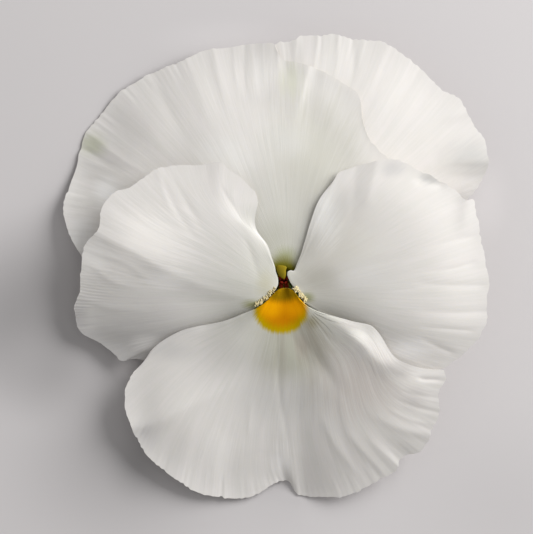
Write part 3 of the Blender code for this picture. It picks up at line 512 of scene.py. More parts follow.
# The paper is darker in soft ovals of painted shadow, where the blossom's shadow falls, and brighter in
# soft ovals of painted light: (place, radii, share of its brightness).
PAPER_PAINTED_SHADOW_AND_LIGHT = [
    ((-40.0, -5.0, 0.0), (13.0, 17.0, 30.0), 0.66),
    ((-33.5, -12.0, 0.0), (10.0, 10.0, 30.0), 0.72),
    ((-31.2, 9.0, 0.0), (3.6, 8.0, 30.0), 1.16),
    ((-22.6, -11.4, 0.0), (2.4, 3.2, 30.0), 1.5),
    ((29.0, 12.6, 0.0), (4.6, 8.0, 30.0), 1.08),
    ((-8.0, 35.0, 0.0), (13.0, 4.5, 30.0), 1.08),
    ((-24.0, -27.0, 0.0), (20.0, 17.0, 30.0), 0.8),
    ((-21.5, -26.5, 0.0), (5.0, 6.0, 30.0), 0.7),
    ((34.0, -32.0, 0.0), (22.0, 18.0, 30.0), 0.93),
]

# The stage: the paper's size, the key light's place and size in metres, and the camera's view.
PAPER_SIZE = 1.2
KEY_PLACE = (0.37, 0.24, 0.24)
KEY_SIZE = 0.40
VIEW_CENTRE = (-1.2, 0.0, 5.0)
VIEW_WIDTH = 76.14


def colour_property(name, description, default):
    return FloatVectorProperty(
        name=name, description=description, default=default, size=3, subtype="COLOR", min=0, max=1
    )


def length_property(name, description, default):
    return FloatProperty(name=name, description=description, default=default, unit="LENGTH", min=0)


class ViolaPetalSettings(bpy.types.PropertyGroup):
    """The mesh, the thickness and the colours of the petals"""

    columns: IntProperty(name="Columns", description="Faces across a petal", default=440, min=40)
    rows: IntProperty(name="Rows", description="Faces from a petal's lip to its rim", default=60, min=10)
    claw_rows: IntProperty(name="Claw rows", description="Faces down a petal's claw", default=8, min=3)
    thickness: length_property("Thickness", "Thickness of a petal", 0.00016)
    rim_share: FloatProperty(name="Rim share", description="Thickness at the rim", default=0.3, min=0)
    crimp: length_property("Crimp", "How far the teeth of the rim stand out", 0.00008)
    ripple: FloatProperty(name="Ripple", description="Strength of the fine pleats", default=0.45, min=0)
    white: colour_property("White", "Petal tissue", (0.775, 0.740, 0.708))
    shade: colour_property("Vein shade", "Tissue along the veins", (0.68, 0.67, 0.62))
    # The throat tint: greenish tissue, darkened to paint the shade round the throat.
    throat: colour_property("Throat", "Tissue round the throat", (0.56, 0.56, 0.48))
    spur: colour_property("Spur", "The spur and the back of the eye", (0.62, 0.64, 0.4))
    ray: colour_property("Rays", "Lines that fan out from the eye", (0.43, 0.40, 0.335))
    # A petal's greenish foot, darkened to nearly black olive to paint the shade where the claws dive into
    # the throat.
    green: colour_property("Throat green", "Foot of a petal", (0.17, 0.155, 0.004))
    yellow: colour_property("Yellow", "Frayed edge of the eye", (0.50, 0.37, 0.0))
    orange: colour_property("Orange", "Middle of the eye", (0.62, 0.23, 0.0))
    light_orange: colour_property("Light orange", "Brightest part of the eye", (0.86, 0.38, 0.0))
    # Painted light: the brighter orange on the eye's right half lifts the shade that half gets from its
    # slope.
    painted_light_orange: colour_property("Warm orange", "Warmer side of the eye", (0.88, 0.36, 0.0))
    # Olive of the throat, darkened to paint the shade inside it.
    olive: colour_property("Olive", "Inside of the throat", (0.27, 0.15, 0.0))


class ViolaHeartSettings(bpy.types.PropertyGroup):
    """The beard, the pistil and the stamens"""

    hairs: IntProperty(name="Hairs", description="Hairs on each side petal's base", default=60, min=0)
    hair_length: length_property("Hair length", "Length of a beard hair", 0.0007)
    hair_radius: length_property("Hair radius", "Radius of a beard hair's knob", 0.0001)
    hair: colour_property("Beard", "Beard hairs", (0.66, 0.56, 0.31))
    stigma: colour_property("Stigma", "Head of the stigma", (0.27, 0.20, 0.01))
    anther: colour_property("Anther", "Body of an anther", (0.46, 0.28, 0.008))
    tip: colour_property("Anther tip", "Tip of an anther", (0.17, 0.013, 0.004))


class ViolaGreenSettings(bpy.types.PropertyGroup):
    """The sepals and the stalk"""

    sepal: colour_property("Sepal", "Sepal leaf", (0.13, 0.23, 0.04))
    sepal_edge: colour_property("Sepal edge", "Paler edge and veins of a sepal", (0.30, 0.38, 0.12))
    stalk: colour_property("Stalk", "Stalk and receptacle", (0.22, 0.34, 0.08))
    cut: colour_property("Cut", "Cut end of the stalk", (0.45, 0.50, 0.25))


class ViolaStageSettings(bpy.types.PropertyGroup):
    """The paper, the lights and the camera"""

    paper: colour_property("Paper", "Surface that the blossom lies on", (0.60, 0.575, 0.575))
    key_power: FloatProperty(name="Key power", description="Watts of the key light", default=3.6, min=0)
    fill: FloatProperty(name="Fill", description="Strength of the sky", default=0.4, min=0)
    camera_height: length_property("Camera height", "Height of the camera above the blossom", 0.6)


class ViolaSettings(bpy.types.PropertyGroup):
    """All settings of the blossom, kept on the scene"""

    petal: PointerProperty(type=ViolaPetalSettings)
    heart: PointerProperty(type=ViolaHeartSettings)
    green: PointerProperty(type=ViolaGreenSettings)
    stage: PointerProperty(type=ViolaStageSettings)


def blossom_origin():
    """Where the blossom's own zero lies in the scene, in millimetres: from the pistil's lowest ring."""
    places = np.array([vertex.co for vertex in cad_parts["pistil"].data.vertices]) / MM
    foot = np.unique(np.round(places[places[:, 2] < places[:, 2].min() + 0.02], 4), axis=0)
    centre = (foot.min(0) + foot.max(0)) / 2
    return centre - np.array(PISTIL_FOOT)


ORIGIN = blossom_origin()


def curve_weights(t, count):
    """Weights of a smooth curve through `count` evenly spaced values, for each t from 0 to 1."""
    place = np.clip(np.asarray(t, float), 0, 1) * (count - 1)
    start = np.minimum(place.astype(int), count - 2)
    s = place - start
    parts = (
        (-s + 2 * s**2 - s**3) / 2,
        (2 - 5 * s**2 + 3 * s**3) / 2,
        (s + 4 * s**2 - 3 * s**3) / 2,
        (-(s**2) + s**3) / 2,
    )
    weights = np.zeros((len(place), count))
    rows = np.arange(len(place))
    for offset, part in zip((-1, 0, 1, 2), parts):
        np.add.at(weights, (rows, np.clip(start + offset, 0, count - 1)), part)
    return weights


def even_curve(points, t):
    """Places at the fractions t of the length of a smooth curve through the points."""
    points = np.array(points, float)
    knots = np.sqrt(np.linalg.norm(np.diff(points, axis=0), axis=1))
    knots = np.concatenate([[0], np.cumsum(knots)])
    ends = np.vstack([2 * points[0] - points[1], points, 2 * points[-1] - points[-2]])
    knots = np.concatenate([[2 * knots[0] - knots[1]], knots, [2 * knots[-1] - knots[-2]]])
    dense = []
    for i in range(1, len(ends) - 2):
        k0, k1, k2, k3 = knots[i - 1 : i + 3]
        p0, p1, p2, p3 = ends[i - 1 : i + 3]
        k = np.linspace(k1, k2, 24, endpoint=False)[:, None]
        a1 = (p0 * (k1 - k) + p1 * (k - k0)) / (k1 - k0)
        a2 = (p1 * (k2 - k) + p2 * (k - k1)) / (k2 - k1)
        a3 = (p2 * (k3 - k) + p3 * (k - k2)) / (k3 - k2)
        b1 = (a1 * (k2 - k) + a2 * (k - k0)) / (k2 - k0)
        b2 = (a2 * (k3 - k) + a3 * (k - k1)) / (k3 - k1)
        dense.append((b1 * (k2 - k) + b2 * (k - k1)) / (k2 - k1))
    dense = np.vstack([*dense, points[-1:]])
    length = np.concatenate([[0], np.cumsum(np.linalg.norm(np.diff(dense, axis=0), axis=1))])
    wanted = np.asarray(t) * length[-1]
    return np.stack([np.interp(wanted, length, dense[:, axis]) for axis in range(dense.shape[1])], -1)


def ease(x):
    x = np.clip(x, 0, 1)
    return x * x * (3 - 2 * x)


def limb_plan(petal, u, v):
    """The limb's places in plan: a patch between the lip line, the rim and the two side edges."""
    lip, rim = even_curve(petal["lip"], u)[None], even_curve(petal["rim"], u)[None]
    broad = even_curve(even_curve(petal["rim"], np.linspace(0, 1, BROAD_POINTS)), u)[None]
    first, last = even_curve(petal["first"], v)[:, None], even_curve(petal["last"], v)[:, None]
    across, along = u[None, :, None], v[:, None, None]
    corners = (1 - along) * ((1 - across) * lip[:, :1] + across * lip[:, -1:])
    corners = corners + along * ((1 - across) * rim[:, :1] + across * rim[:, -1:])
    outer = along * broad + along**NOTCH_POWER * (rim - broad)
    return (1 - along) * lip + outer + (1 - across) * first + across * last - corners


def crease_heights(creases, plan):
    """The sum of ridges and valleys, each along its own line in plan."""
    heights = np.zeros(plan.shape[:2])
    for points, left, right, tops in creases:
        t = np.linspace(0, 1, CREASE_STEPS)
        line = even_curve(points, t)
        along = np.gradient(line, axis=0)
        along /= np.linalg.norm(along, axis=1, keepdims=True)
        apart = plan[:, :, None] - line
        distance = np.linalg.norm(apart, axis=-1)
        near = distance.argmin(-1)[..., None]
        distance = np.take_along_axis(distance, near, -1)[..., 0]
        side = np.take_along_axis(along[:, 0] * apart[..., 1] - along[:, 1] * apart[..., 0], near, -1)
        side = side[..., 0] / np.maximum(distance, 1e-6)
        width = (left + right) / 2 + side * (left - right) / 2
        top = np.interp(t, np.linspace(0, 1, len(tops)), tops)[near[..., 0]]
        heights += top * np.exp(-((distance / width) ** CREASE_POWER))
    return heights


def limb_heights(petal, plan, u, v):
    net = np.array(petal["heights"], float)
    heights = curve_weights(v, len(net)) @ net @ curve_weights(u, net.shape[1]).T
    return heights + crease_heights(petal["creases"], plan)


class Ground:
    """The height of whatever already lies at each place, on a square grid."""

    HALF = 38.0
    CELL = 0.5

    def __init__(self):
        count = int(2 * self.HALF / self.CELL) + 1
        self.heights = np.full((count, count), GROUND_CLEARANCE - LAYER_GAP)

    def cells(self, plan):
        places = (plan + self.HALF) / self.CELL
        return np.clip(places, 0, len(self.heights) - 1.001)

    def at(self, plan):
        places = self.cells(plan)
        low = places.astype(int)
        x, y = np.moveaxis(places - low, -1, 0)
        i, j = np.moveaxis(low, -1, 0)
        near = self.heights[i, j] * (1 - x) + self.heights[i + 1, j] * x
        far = self.heights[i, j + 1] * (1 - x) + self.heights[i + 1, j + 1] * x
        return near * (1 - y) + far * y

    def add(self, plan, heights):
        """Lay a sheet down: its grid is refined until every cell under it is reached."""
        t = np.linspace(0, 1, 240)
        rows, columns = curve_weights(t, len(plan)), curve_weights(t, plan.shape[1])
        fine = np.stack([rows @ layer @ columns.T for layer in (*np.moveaxis(plan, -1, 0), heights)])
        cells = np.round(self.cells(np.moveaxis(fine[:2], 0, -1))).astype(int)
        for di in (-1, 0, 1):
            for dj in (-1, 0, 1):
                i = np.clip(cells[..., 0] + di, 0, len(self.heights) - 1)
                j = np.clip(cells[..., 1] + dj, 0, len(self.heights) - 1)
                np.maximum.at(self.heights, (i, j), fine[2])


def settle(plan, heights, ground):
    """Lift a sheet clear of what it lies on, and ease the lift into the rest of the sheet."""
    needed = ground.at(plan) + LAYER_GAP - heights
    lift = np.maximum(needed, 0)
    for _ in range(SETTLE_ROUNDS):
        wide = np.pad(lift, 1, mode="edge")
        wide = (wide[:-2] + 2 * wide[1:-1] + wide[2:]) / 4
        lift = (wide[:, :-2] + 2 * wide[:, 1:-1] + wide[:, 2:]) / 4
        lift = np.maximum(lift, needed)
    return heights + lift


def settled_lift(petal, ground):
    """How far the petal is lifted by those behind it, on a coarse grid."""
    u = np.linspace(0, 1, NET_COLUMNS + 1)
    v = np.linspace(0, 1, NET_ROWS + 1) ** ROW_SPREAD
    plan = limb_plan(petal, u, v)
    free = limb_heights(petal, plan, u, v)
    heights = settle(plan, free, ground)
    ground.add(plan, heights)
    return heights - free


def streaks(random, u, v, count, rows):
    """Smooth random ridges that run from the throat to the rim, `count` across, drifting slowly."""
    knots = random.normal(size=(rows, count))
    return curve_weights(v, rows) @ knots @ curve_weights(u, count).T


def line_length(points):
    return np.linalg.norm(np.diff(points, axis=0), axis=1).sum()


def ripples(petal, u, v, strength):
    """Pleats too fine and too many to name: broad ones, narrow ones and the ruffles of the rim."""
    random = np.random.default_rng(petal["seed"])
    rim = line_length(even_curve(petal["rim"], np.linspace(0, 1, 60)))
    everywhere = ease((v - 0.04) / 0.6)[:, None]
    near_rim = ease((v - 0.75) / 0.25)[:, None]
    patches = 0.5 + 0.5 * np.tanh(streaks(random, u, v, int(rim / PATCH_WIDTH), 4) + 0.4)
    heights = np.zeros_like(patches)
    for height, width, knots, only_rim, patchy in PLEATS:
        pleats = height * streaks(random, u, v, int(rim / width), knots)
        pleats *= near_rim if only_rim else everywhere
        heights += pleats * patches if patchy else pleats
    return strength * petal["pleats"] * heights


def level_bend(foot, lip, second, fold):
    """Where a claw bends so that it meets the limb level with it, or folded back under it."""
    outward = second - lip
    outward /= np.linalg.norm(outward, axis=-1, keepdims=True)
    level = lip - CLAW_REACH * outward
    level[..., :2] += CLAW_SHARE * (foot[..., :2] - level[..., :2])
    level[..., 2] -= fold
    return level


def claw_sheet(foot, bend, lip, rows):
    """The claw: from its foot up to the lip line, bending on the way."""
    steps = np.linspace(0, 1, rows + 1)[:-1, None, None]
    return (1 - steps) ** 2 * foot + 2 * steps * (1 - steps) * bend + steps**2 * lip


def claw_foot(petal, u):
    """The short arc on the receptacle where a petal is fixed."""
    turn = math.radians(petal["claw"])
    spread = CLAW_WIDTH / CLAW_RADIUS / 2
    angles = turn + spread * (1 - 2 * u)
    x = HEART[0] + CLAW_RADIUS * np.cos(angles)
    y = HEART[1] + CLAW_RADIUS * np.sin(angles)
    return np.stack([x, y, np.full_like(x, CLAW_FOOT)], -1)


def spur_ring(centre, tilt, radius, angles):
    slant = math.radians(tilt)
    out = radius * np.sin(angles)
    x = centre[0] + radius * np.cos(angles)
    y = centre[1] + out * math.cos(slant)
    z = centre[2] - out * math.sin(slant)
    return np.stack([x, y, z], -1)


def front_angles(u):
    side = (SPUR_FRONT - 180) / 2
    return np.radians(side - SPUR_FRONT * u)


def petal_sheet(petal, ground, settings):
    """The petal's middle sheet: points and its own coordinates, rows from the claw to the rim."""
    u = np.linspace(0, 1, settings.columns + 1)
    s = np.linspace(0, 1, settings.rows + 1)
    v = s**ROW_SPREAD
    plan = limb_plan(petal, u, v)
    lift = settled_lift(petal, ground)
    heights = limb_heights(petal, plan, u, v)
    heights += curve_weights(s, len(lift)) @ lift @ curve_weights(u, lift.shape[1]).T
    heights += crease_heights(petal["fine"], plan)
    heights += ripples(petal, u, v, settings.ripple)
    random = np.random.default_rng(RIM_SEED + petal["seed"])
    rim = line_length(plan[-1])
    teeth = sum(share * streaks(random, u, np.zeros(1), int(rim / width), 2)[0] for share, width in TEETH)
    outward = plan[-1] - plan[-2]
    outward /= np.linalg.norm(outward, axis=-1, keepdims=True)
    reach = petal["pleats"] * settings.crimp / MM * ease((v - TEETH_START) / (1 - TEETH_START))
    plan = plan + reach[:, None, None] * teeth[None, :, None] * outward[None]
    heights = np.maximum(heights, GROUND_CLEARANCE)
    limb = np.concatenate([plan, heights[..., None]], -1)
    if petal is PETALS[LIP]:
        foot = spur_ring(*SPUR_MOUTH, SPUR_RADIUS, front_angles(u))
        bend = limb[0] + TONGUE_FOLD
    else:
        foot = claw_foot(petal, u)
        bend = level_bend(foot, limb[0], limb[2], petal["fold"])
    claw = claw_sheet(foot, bend, limb[0], settings.claw_rows)
    claw_v = np.linspace(-0.1, 0, settings.claw_rows + 1)[:-1]
    coordinates = np.stack(np.meshgrid(u, np.concatenate([claw_v, v])), -1)
    return np.concatenate([claw, limb]), coordinates


def deselect_all():
    for other in bpy.context.selected_objects:
        other.select_set(False)


def select_only(piece):
    deselect_all()
    piece.select_set(True)
    bpy.context.view_layer.objects.active = piece


def add_grid(name, columns, rows):
    """A flat grid from the menu, ready to be shaped."""
    deselect_all()
    bpy.ops.mesh.primitive_grid_add(x_subdivisions=columns, y_subdivisions=rows, size=1)
    piece = bpy.context.object
    piece.name = name
    piece.data.name = name
    return piece


def shape_grid(piece, points, coordinates):
    """Moves the grid's vertices, row by row, to the points, and gives it its coordinates as a UV map."""
    flat = (points.reshape(-1, 3) + ORIGIN) * MM
    piece.data.vertices.foreach_set("co", flat.astype(np.float32).ravel())
    corners = np.empty(len(piece.data.loops), np.int32)
    piece.data.loops.foreach_get("vertex_index", corners)
    layer = piece.data.uv_layers[0]
    layer.uv.foreach_set("vector", coordinates.reshape(-1, 2)[corners].astype(np.float32).ravel())
    piece.data.update()


def in_edit_mode(*steps):
    """Runs edit-mode operators on everything in the active mesh."""
    bpy.ops.object.mode_set(mode="EDIT")
    bpy.ops.mesh.select_all(action="SELECT")
    for step, values in steps:
        step(**values)
    bpy.ops.object.mode_set(mode="OBJECT")


def weigh_grid(piece, shares):
    """A vertex group "body" that says how thick each point of a grid is."""
    group = piece.vertex_groups.new(name="body")
    for index, share in enumerate(shares.ravel()):
        group.add([index], float(share), "REPLACE")


def apply_thickness(piece, thickness):
    solid = piece.modifiers.new("thickness", "SOLIDIFY")
    solid.thickness = thickness
    solid.offset = 0.0
    if piece.vertex_groups:
        solid.vertex_group = "body"
    bpy.ops.object.modifier_apply(modifier=solid.name)
    piece.vertex_groups.clear()


def finish_piece(piece, material, slot, *nodes):
    """The last steps of every piece: its finish, smooth shading, and its place on the frame."""
    piece.data.materials.clear()
    piece.data.materials.append(material)
    select_only(piece)
    bpy.ops.object.shade_smooth_by_angle(angle=SHARP_ANGLE)
    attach(piece, "root")
    if nodes:
        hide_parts(*nodes)


def tube(name, stations, sides, turn=0.0):
    """A closed tube through rings square to its path. A station is (place, half width, half depth)."""
    places = np.array([place for place, _, _ in stations], float)
    along = np.gradient(places, axis=0)
    along /= np.linalg.norm(along, axis=1, keepdims=True)
    angles = np.linspace(0, 2 * math.pi, sides + 1)
    across = np.array([math.cos(turn), math.sin(turn), 0.0])
    rings = [np.repeat(places[:1], sides + 1, axis=0)]
    for place, direction, (_, width, depth) in zip(places, along, stations):
        across = across - direction * across.dot(direction)
        across /= np.linalg.norm(across)
        up = np.cross(direction, across)
        ring = np.outer(np.cos(angles) * width, across) + np.outer(np.sin(angles) * depth, up)
        rings.append(place + ring)
    rings.append(np.repeat(places[-1:], sides + 1, axis=0))
    points = np.array(rings)
    piece = add_grid(name, sides, len(points) - 1)
    lengths = np.linspace(0, 1, len(points))
    shape_grid(piece, points, np.stack(np.meshgrid(angles / (2 * math.pi), lengths), -1))
    merge_and_face_out()
    return piece


def join_pieces(pieces):
    """Joins the other pieces into the first one."""
    select_only(pieces[0])
    for piece in pieces[1:]:
        piece.select_set(True)
    bpy.ops.object.join()


def merge_and_face_out():
    in_edit_mode(
        (bpy.ops.mesh.remove_doubles, {"threshold": 1e-6}),
        (bpy.ops.mesh.normals_make_consistent, {"inside": False}),
    )


def smooth_stations(points, count):
    """Rings at even steps along a smooth curve through (place, radius) or (place, width, depth)."""
    flat = np.array([np.hstack(station) for station in points], float)
    path = even_curve(flat, np.linspace(0, 1, count))
    return [(row[:3], row[3], row[-1]) for row in path]


# Materials


def new_material(name, roughness, subsurface=0.0, reach=0.0):
    """A material, its nodes and its shader. Light reaches this far into it, in metres."""
    material = bpy.data.materials.new(name)
    material.use_nodes = True
    shader = material.node_tree.nodes["Principled BSDF"]
    shader.inputs["Roughness"].default_value = roughness
    shader.inputs["Subsurface Weight"].default_value = subsurface
    shader.inputs["Subsurface Radius"].default_value = (1.0, 0.9, 0.7)
    shader.inputs["Subsurface Scale"].default_value = reach
    return material, material.node_tree, shader


def node(tree, kind, settings=None, **inputs):
    """A node with its settings and inputs. An input that is a socket is linked, others are set."""
    made = tree.nodes.new(kind)
    for name, value in (settings or {}).items():
        setattr(made, name, value)
    for name, value in inputs.items():
        key = int(name[1:]) if name[0] == "_" and name[1:].isdigit() else name.replace("_", " ")
        socket = made.inputs[key]
        if isinstance(value, bpy.types.NodeSocket):
            tree.links.new(value, socket)
        else:
            socket.default_value = value
    return made


def math_node(tree, operation, a, b=0.0):
    return node(tree, "ShaderNodeMath", {"operation": operation}, _0=a, _1=b).outputs[0]


def mix_colour(tree, mask, a, b):
    """Colour a where the mask is 0 and colour b where it is 1. Each is a socket or a plain colour."""
    a, b = (value if isinstance(value, bpy.types.NodeSocket) else (*value, 1.0) for value in (a, b))
    return node(tree, "ShaderNodeMix", {"data_type": "RGBA"}, _0=mask, _6=a, _7=b).outputs[2]


def range_node(tree, value, low, high, start=0.0, end=1.0):
    """Eases from start to end while the value goes from low to high."""
    made = node(tree, "ShaderNodeMapRange", {"interpolation_type": "SMOOTHSTEP"}, Value=value)
    for name, number in (("From Min", low), ("From Max", high), ("To Min", start), ("To Max", end)):
        made.inputs[name].default_value = number
    return made.outputs[0]


def sheet_place(tree):
    """How far across and how far along a piece each point lies, by the piece's own coordinates."""
    place = node(tree, "ShaderNodeTexCoord").outputs["UV"]
    split = node(tree, "ShaderNodeSeparateXYZ", None, Vector=place)
    return split.outputs[0], split.outputs[1]


def upward(tree, kind):
    """The upward part of a point's place ("Object") or of the way that its surface faces ("Normal")."""
    vector = node(tree, "ShaderNodeTexCoord").outputs[kind]
    return node(tree, "ShaderNodeSeparateXYZ", None, Vector=vector).outputs[2]


def height_mask(tree, height, low, high):
    """A mask that rises from 0 to 1 between two heights of the blossom."""
    low, high = (float((edge + ORIGIN[2]) * MM) for edge in (low, high))
    return range_node(tree, height, low, high)


def tissue_group():
    """Fine lines that fan out with a sheet's own coordinates: a mask of veins and a height."""
    tree = bpy.data.node_groups.new("Petal tissue", "ShaderNodeTree")
    for name, kind, default in (("Lines", "NodeSocketFloat", 100.0), ("Length", "NodeSocketFloat", 4.0)):
        socket = tree.interface.new_socket(name=name, in_out="INPUT", socket_type=kind)
        socket.default_value = default
    tree.interface.new_socket(name="Veins", in_out="OUTPUT", socket_type="NodeSocketFloat")
    tree.interface.new_socket(name="Height", in_out="OUTPUT", socket_type="NodeSocketFloat")
    inside = tree.nodes.new("NodeGroupInput")
    outside = tree.nodes.new("NodeGroupOutput")
    across, along = sheet_place(tree)
    across = math_node(tree, "MULTIPLY", across, inside.outputs["Lines"])
    along = math_node(tree, "MULTIPLY", along, inside.outputs["Length"])
    stretched = node(tree, "ShaderNodeCombineXYZ", None, X=across, Y=along).outputs[0]
    fine = node(tree, "ShaderNodeTexNoise", None, Vector=stretched, Scale=1.0, Detail=3.0, Roughness=0.6)
    wide = node(tree, "ShaderNodeTexNoise", None, Vector=stretched, Scale=0.31, Detail=1.0)
    veins = math_node(tree, "MULTIPLY", fine.outputs["Fac"], 0.6)
    veins = math_node(tree, "ADD", veins, math_node(tree, "MULTIPLY", wide.outputs["Fac"], 0.4))
    tree.links.new(range_node(tree, veins, 0.35, 0.65), outside.inputs["Veins"])
    tree.links.new(veins, outside.inputs["Height"])
    return tree


def tissue(tree, lines, length):
    group = bpy.data.node_groups.get("Petal tissue") or tissue_group()
    return node(tree, "ShaderNodeGroup", {"node_tree": group}, Lines=lines, Length=length)


def bump(tree, shader, height, strength, distance):
    made = node(tree, "ShaderNodeBump", None, Strength=strength, Distance=distance, Height=height)
    tree.links.new(made.outputs[0], shader.inputs["Normal"])


def spot_mask(tree, place, radii, inner, outer, fray=None):
    """A mask that is 1 inside an oval round a place of the blossom, and frays out to 0."""
    objects = node(tree, "ShaderNodeTexCoord").outputs["Object"]
    mapping = node(tree, "ShaderNodeMapping", {"vector_type": "TEXTURE"}, Vector=objects)
    mapping.inputs["Location"].default_value = (np.array(place) + ORIGIN) * MM
    mapping.inputs["Scale"].default_value = np.array(radii) * MM
    length = node(tree, "ShaderNodeVectorMath", {"operation": "LENGTH"}, _0=mapping.outputs[0])
    distance = length.outputs["Value"]
    if fray is not None:
        distance = math_node(tree, "ADD", distance, fray)
    return range_node(tree, distance, inner, outer, 1.0, 0.0)


def eye_colour(tree, colour, veins, settings):
    """The yellow eye with its frayed edge, its right side painted brighter as painted light, and the olive
    throat with its painted shade, over the lip's own colour.
    """
    fray = math_node(tree, "MULTIPLY", veins, 0.1)
    edge = spot_mask(tree, EYE_PLACE, EYE_RADII, 0.96, 1.2, fray)
    middle = spot_mask(tree, EYE_PLACE, EYE_RADII, 0.5, 1.1, fray)
    bright = spot_mask(tree, EYE_BRIGHT, EYE_RADII, 0.1, 0.7)
    painted_light_mask = spot_mask(tree, EYE_PAINTED_LIGHT, EYE_RADII, 0.1, 0.7)
    eye = mix_colour(tree, middle, tuple(settings.yellow), tuple(settings.orange))
    eye = mix_colour(tree, bright, eye, tuple(settings.light_orange))
    # Painted light: the eye's right half is brightened against the shade of its slope.
    eye = mix_colour(tree, painted_light_mask, eye, tuple(settings.painted_light_orange))
    colour = mix_colour(tree, edge, colour, eye)
    # Painted shade: the olive throat darkens the lip where the throat falls into shade.
    throat = spot_mask(tree, TONGUE_PLACE, TONGUE_RADII, 0.5, 1.1, fray)
    colour = mix_colour(tree, throat, colour, tuple(settings.olive))
    spur = math_node(tree, "SUBTRACT", 1.0, height_mask(tree, upward(tree, "Object"), *SPUR_FADE))
    under = range_node(tree, upward(tree, "Normal"), -0.3, 0.0, 1.0, 0.0)
    pale = math_node(tree, "MULTIPLY", math_node(tree, "MAXIMUM", spur, under), edge)
    return mix_colour(tree, pale, colour, tuple(settings.spur))


def petal_material(name, lines, settings, tints_painted_shade_and_light, foot_reach):
    """White tissue with faint veins, a throat tint and a green foot, both darkened with painted shade, and
    soft ovals of tint, painted shade and painted light. The lip has the yellow eye too.
    """
    material, tree, shader = new_material(name, 0.6, 0.1, 0.5 * MM)
    shader.inputs["Specular IOR Level"].default_value = LIP_GLOSS if name == LIP else PETAL_GLOSS
    grain = tissue(tree, lines, 5.0)
    veins = grain.outputs["Veins"]
    _, along = sheet_place(tree)
    vein_mask = math_node(tree, "MULTIPLY", veins, range_node(tree, along, 0.0, 0.95, 0.9, 0.35))
    colour = mix_colour(tree, vein_mask, tuple(settings.white), tuple(settings.shade))
    # Tint towards the throat, partly greenish tissue and partly painted shade.
    colour = mix_colour(tree, range_node(tree, along, 0.0, 0.55, 0.6, 0.0), colour, tuple(settings.throat))
    # Each oval is a tint of the tissue, a painted shade or a painted light.
    for place, radii, tint_shade_light in tints_painted_shade_and_light:
        fray = math_node(tree, "MULTIPLY", veins, 0.3)
        colour = mix_colour(tree, spot_mask(tree, place, radii, 0.2, 1.15, fray), colour, tint_shade_light)
    # Painted shade: the dark green foot stands in for the shade at the claws as well as their green base.
    foot = math_node(tree, "ADD", along, math_node(tree, "MULTIPLY", veins, -0.02))
    foot = range_node(tree, foot, foot_reach - 0.06, foot_reach, 1.0, 0.0)
    colour = mix_colour(tree, foot, colour, tuple(settings.green))
    if name == LIP:
        rays = tissue(tree, lines * 0.1, 2.5).outputs["Veins"]
        rays = math_node(tree, "MULTIPLY", rays, range_node(tree, along, 0.2, 0.8, 0.85, 0.0))
        rays = math_node(tree, "MULTIPLY", rays, spot_mask(tree, RAY_PLACE, RAY_RADII, 0.3, 1.2))
        colour = mix_colour(tree, rays, colour, tuple(settings.ray))
        colour = eye_colour(tree, colour, veins, settings)
    tree.links.new(colour, shader.inputs["Base Color"])
    bump(tree, shader, grain.outputs["Height"], 0.4, 0.06 * MM)
    return material


def banded_material(name, roughness, low, high, start, end):
    """One colour that turns into another between two heights, along a mottled edge."""
    material, tree, shader = new_material(name, roughness)
    shader.inputs["Specular IOR Level"].default_value = 0.1
    objects = node(tree, "ShaderNodeTexCoord").outputs["Object"]
    mottle = node(tree, "ShaderNodeTexNoise", None, Vector=objects, Scale=1800.0, Detail=2.0).outputs["Fac"]
    shift = math_node(tree, "MULTIPLY", math_node(tree, "SUBTRACT", mottle, 0.5), 0.4 * MM)
    mask = height_mask(tree, math_node(tree, "ADD", upward(tree, "Object"), shift), start, end)
    tree.links.new(mix_colour(tree, mask, tuple(low), tuple(high)), shader.inputs["Base Color"])
    bump(tree, shader, mottle, 0.3, 0.05 * MM)
    return material


def leaf_material(name, lines, settings):
    """Green leaf with paler veins along it and a paler edge."""
    material, tree, shader = new_material(name, 0.5)
    grain = tissue(tree, lines, 3.0)
    across, _ = sheet_place(tree)
    middle = math_node(tree, "ABSOLUTE", math_node(tree, "SUBTRACT", across, 0.5))
    edge = range_node(tree, middle, 0.4, 0.5)
    rib = range_node(tree, middle, 0.0, 0.05, 0.8, 0.0)
    veins = math_node(tree, "MULTIPLY", grain.outputs["Veins"], 0.5)
    mask = math_node(tree, "MAXIMUM", math_node(tree, "MAXIMUM", edge, rib), veins)
    colour = mix_colour(tree, mask, tuple(settings.sepal), tuple(settings.sepal_edge))
    tree.links.new(colour, shader.inputs["Base Color"])
    bump(tree, shader, grain.outputs["Height"], 0.5, 0.1 * MM)
    return material


# Pieces


class ViolaOperator:
    """What the operators of the blossom share"""

    bl_options = {"REGISTER", "UNDO"}


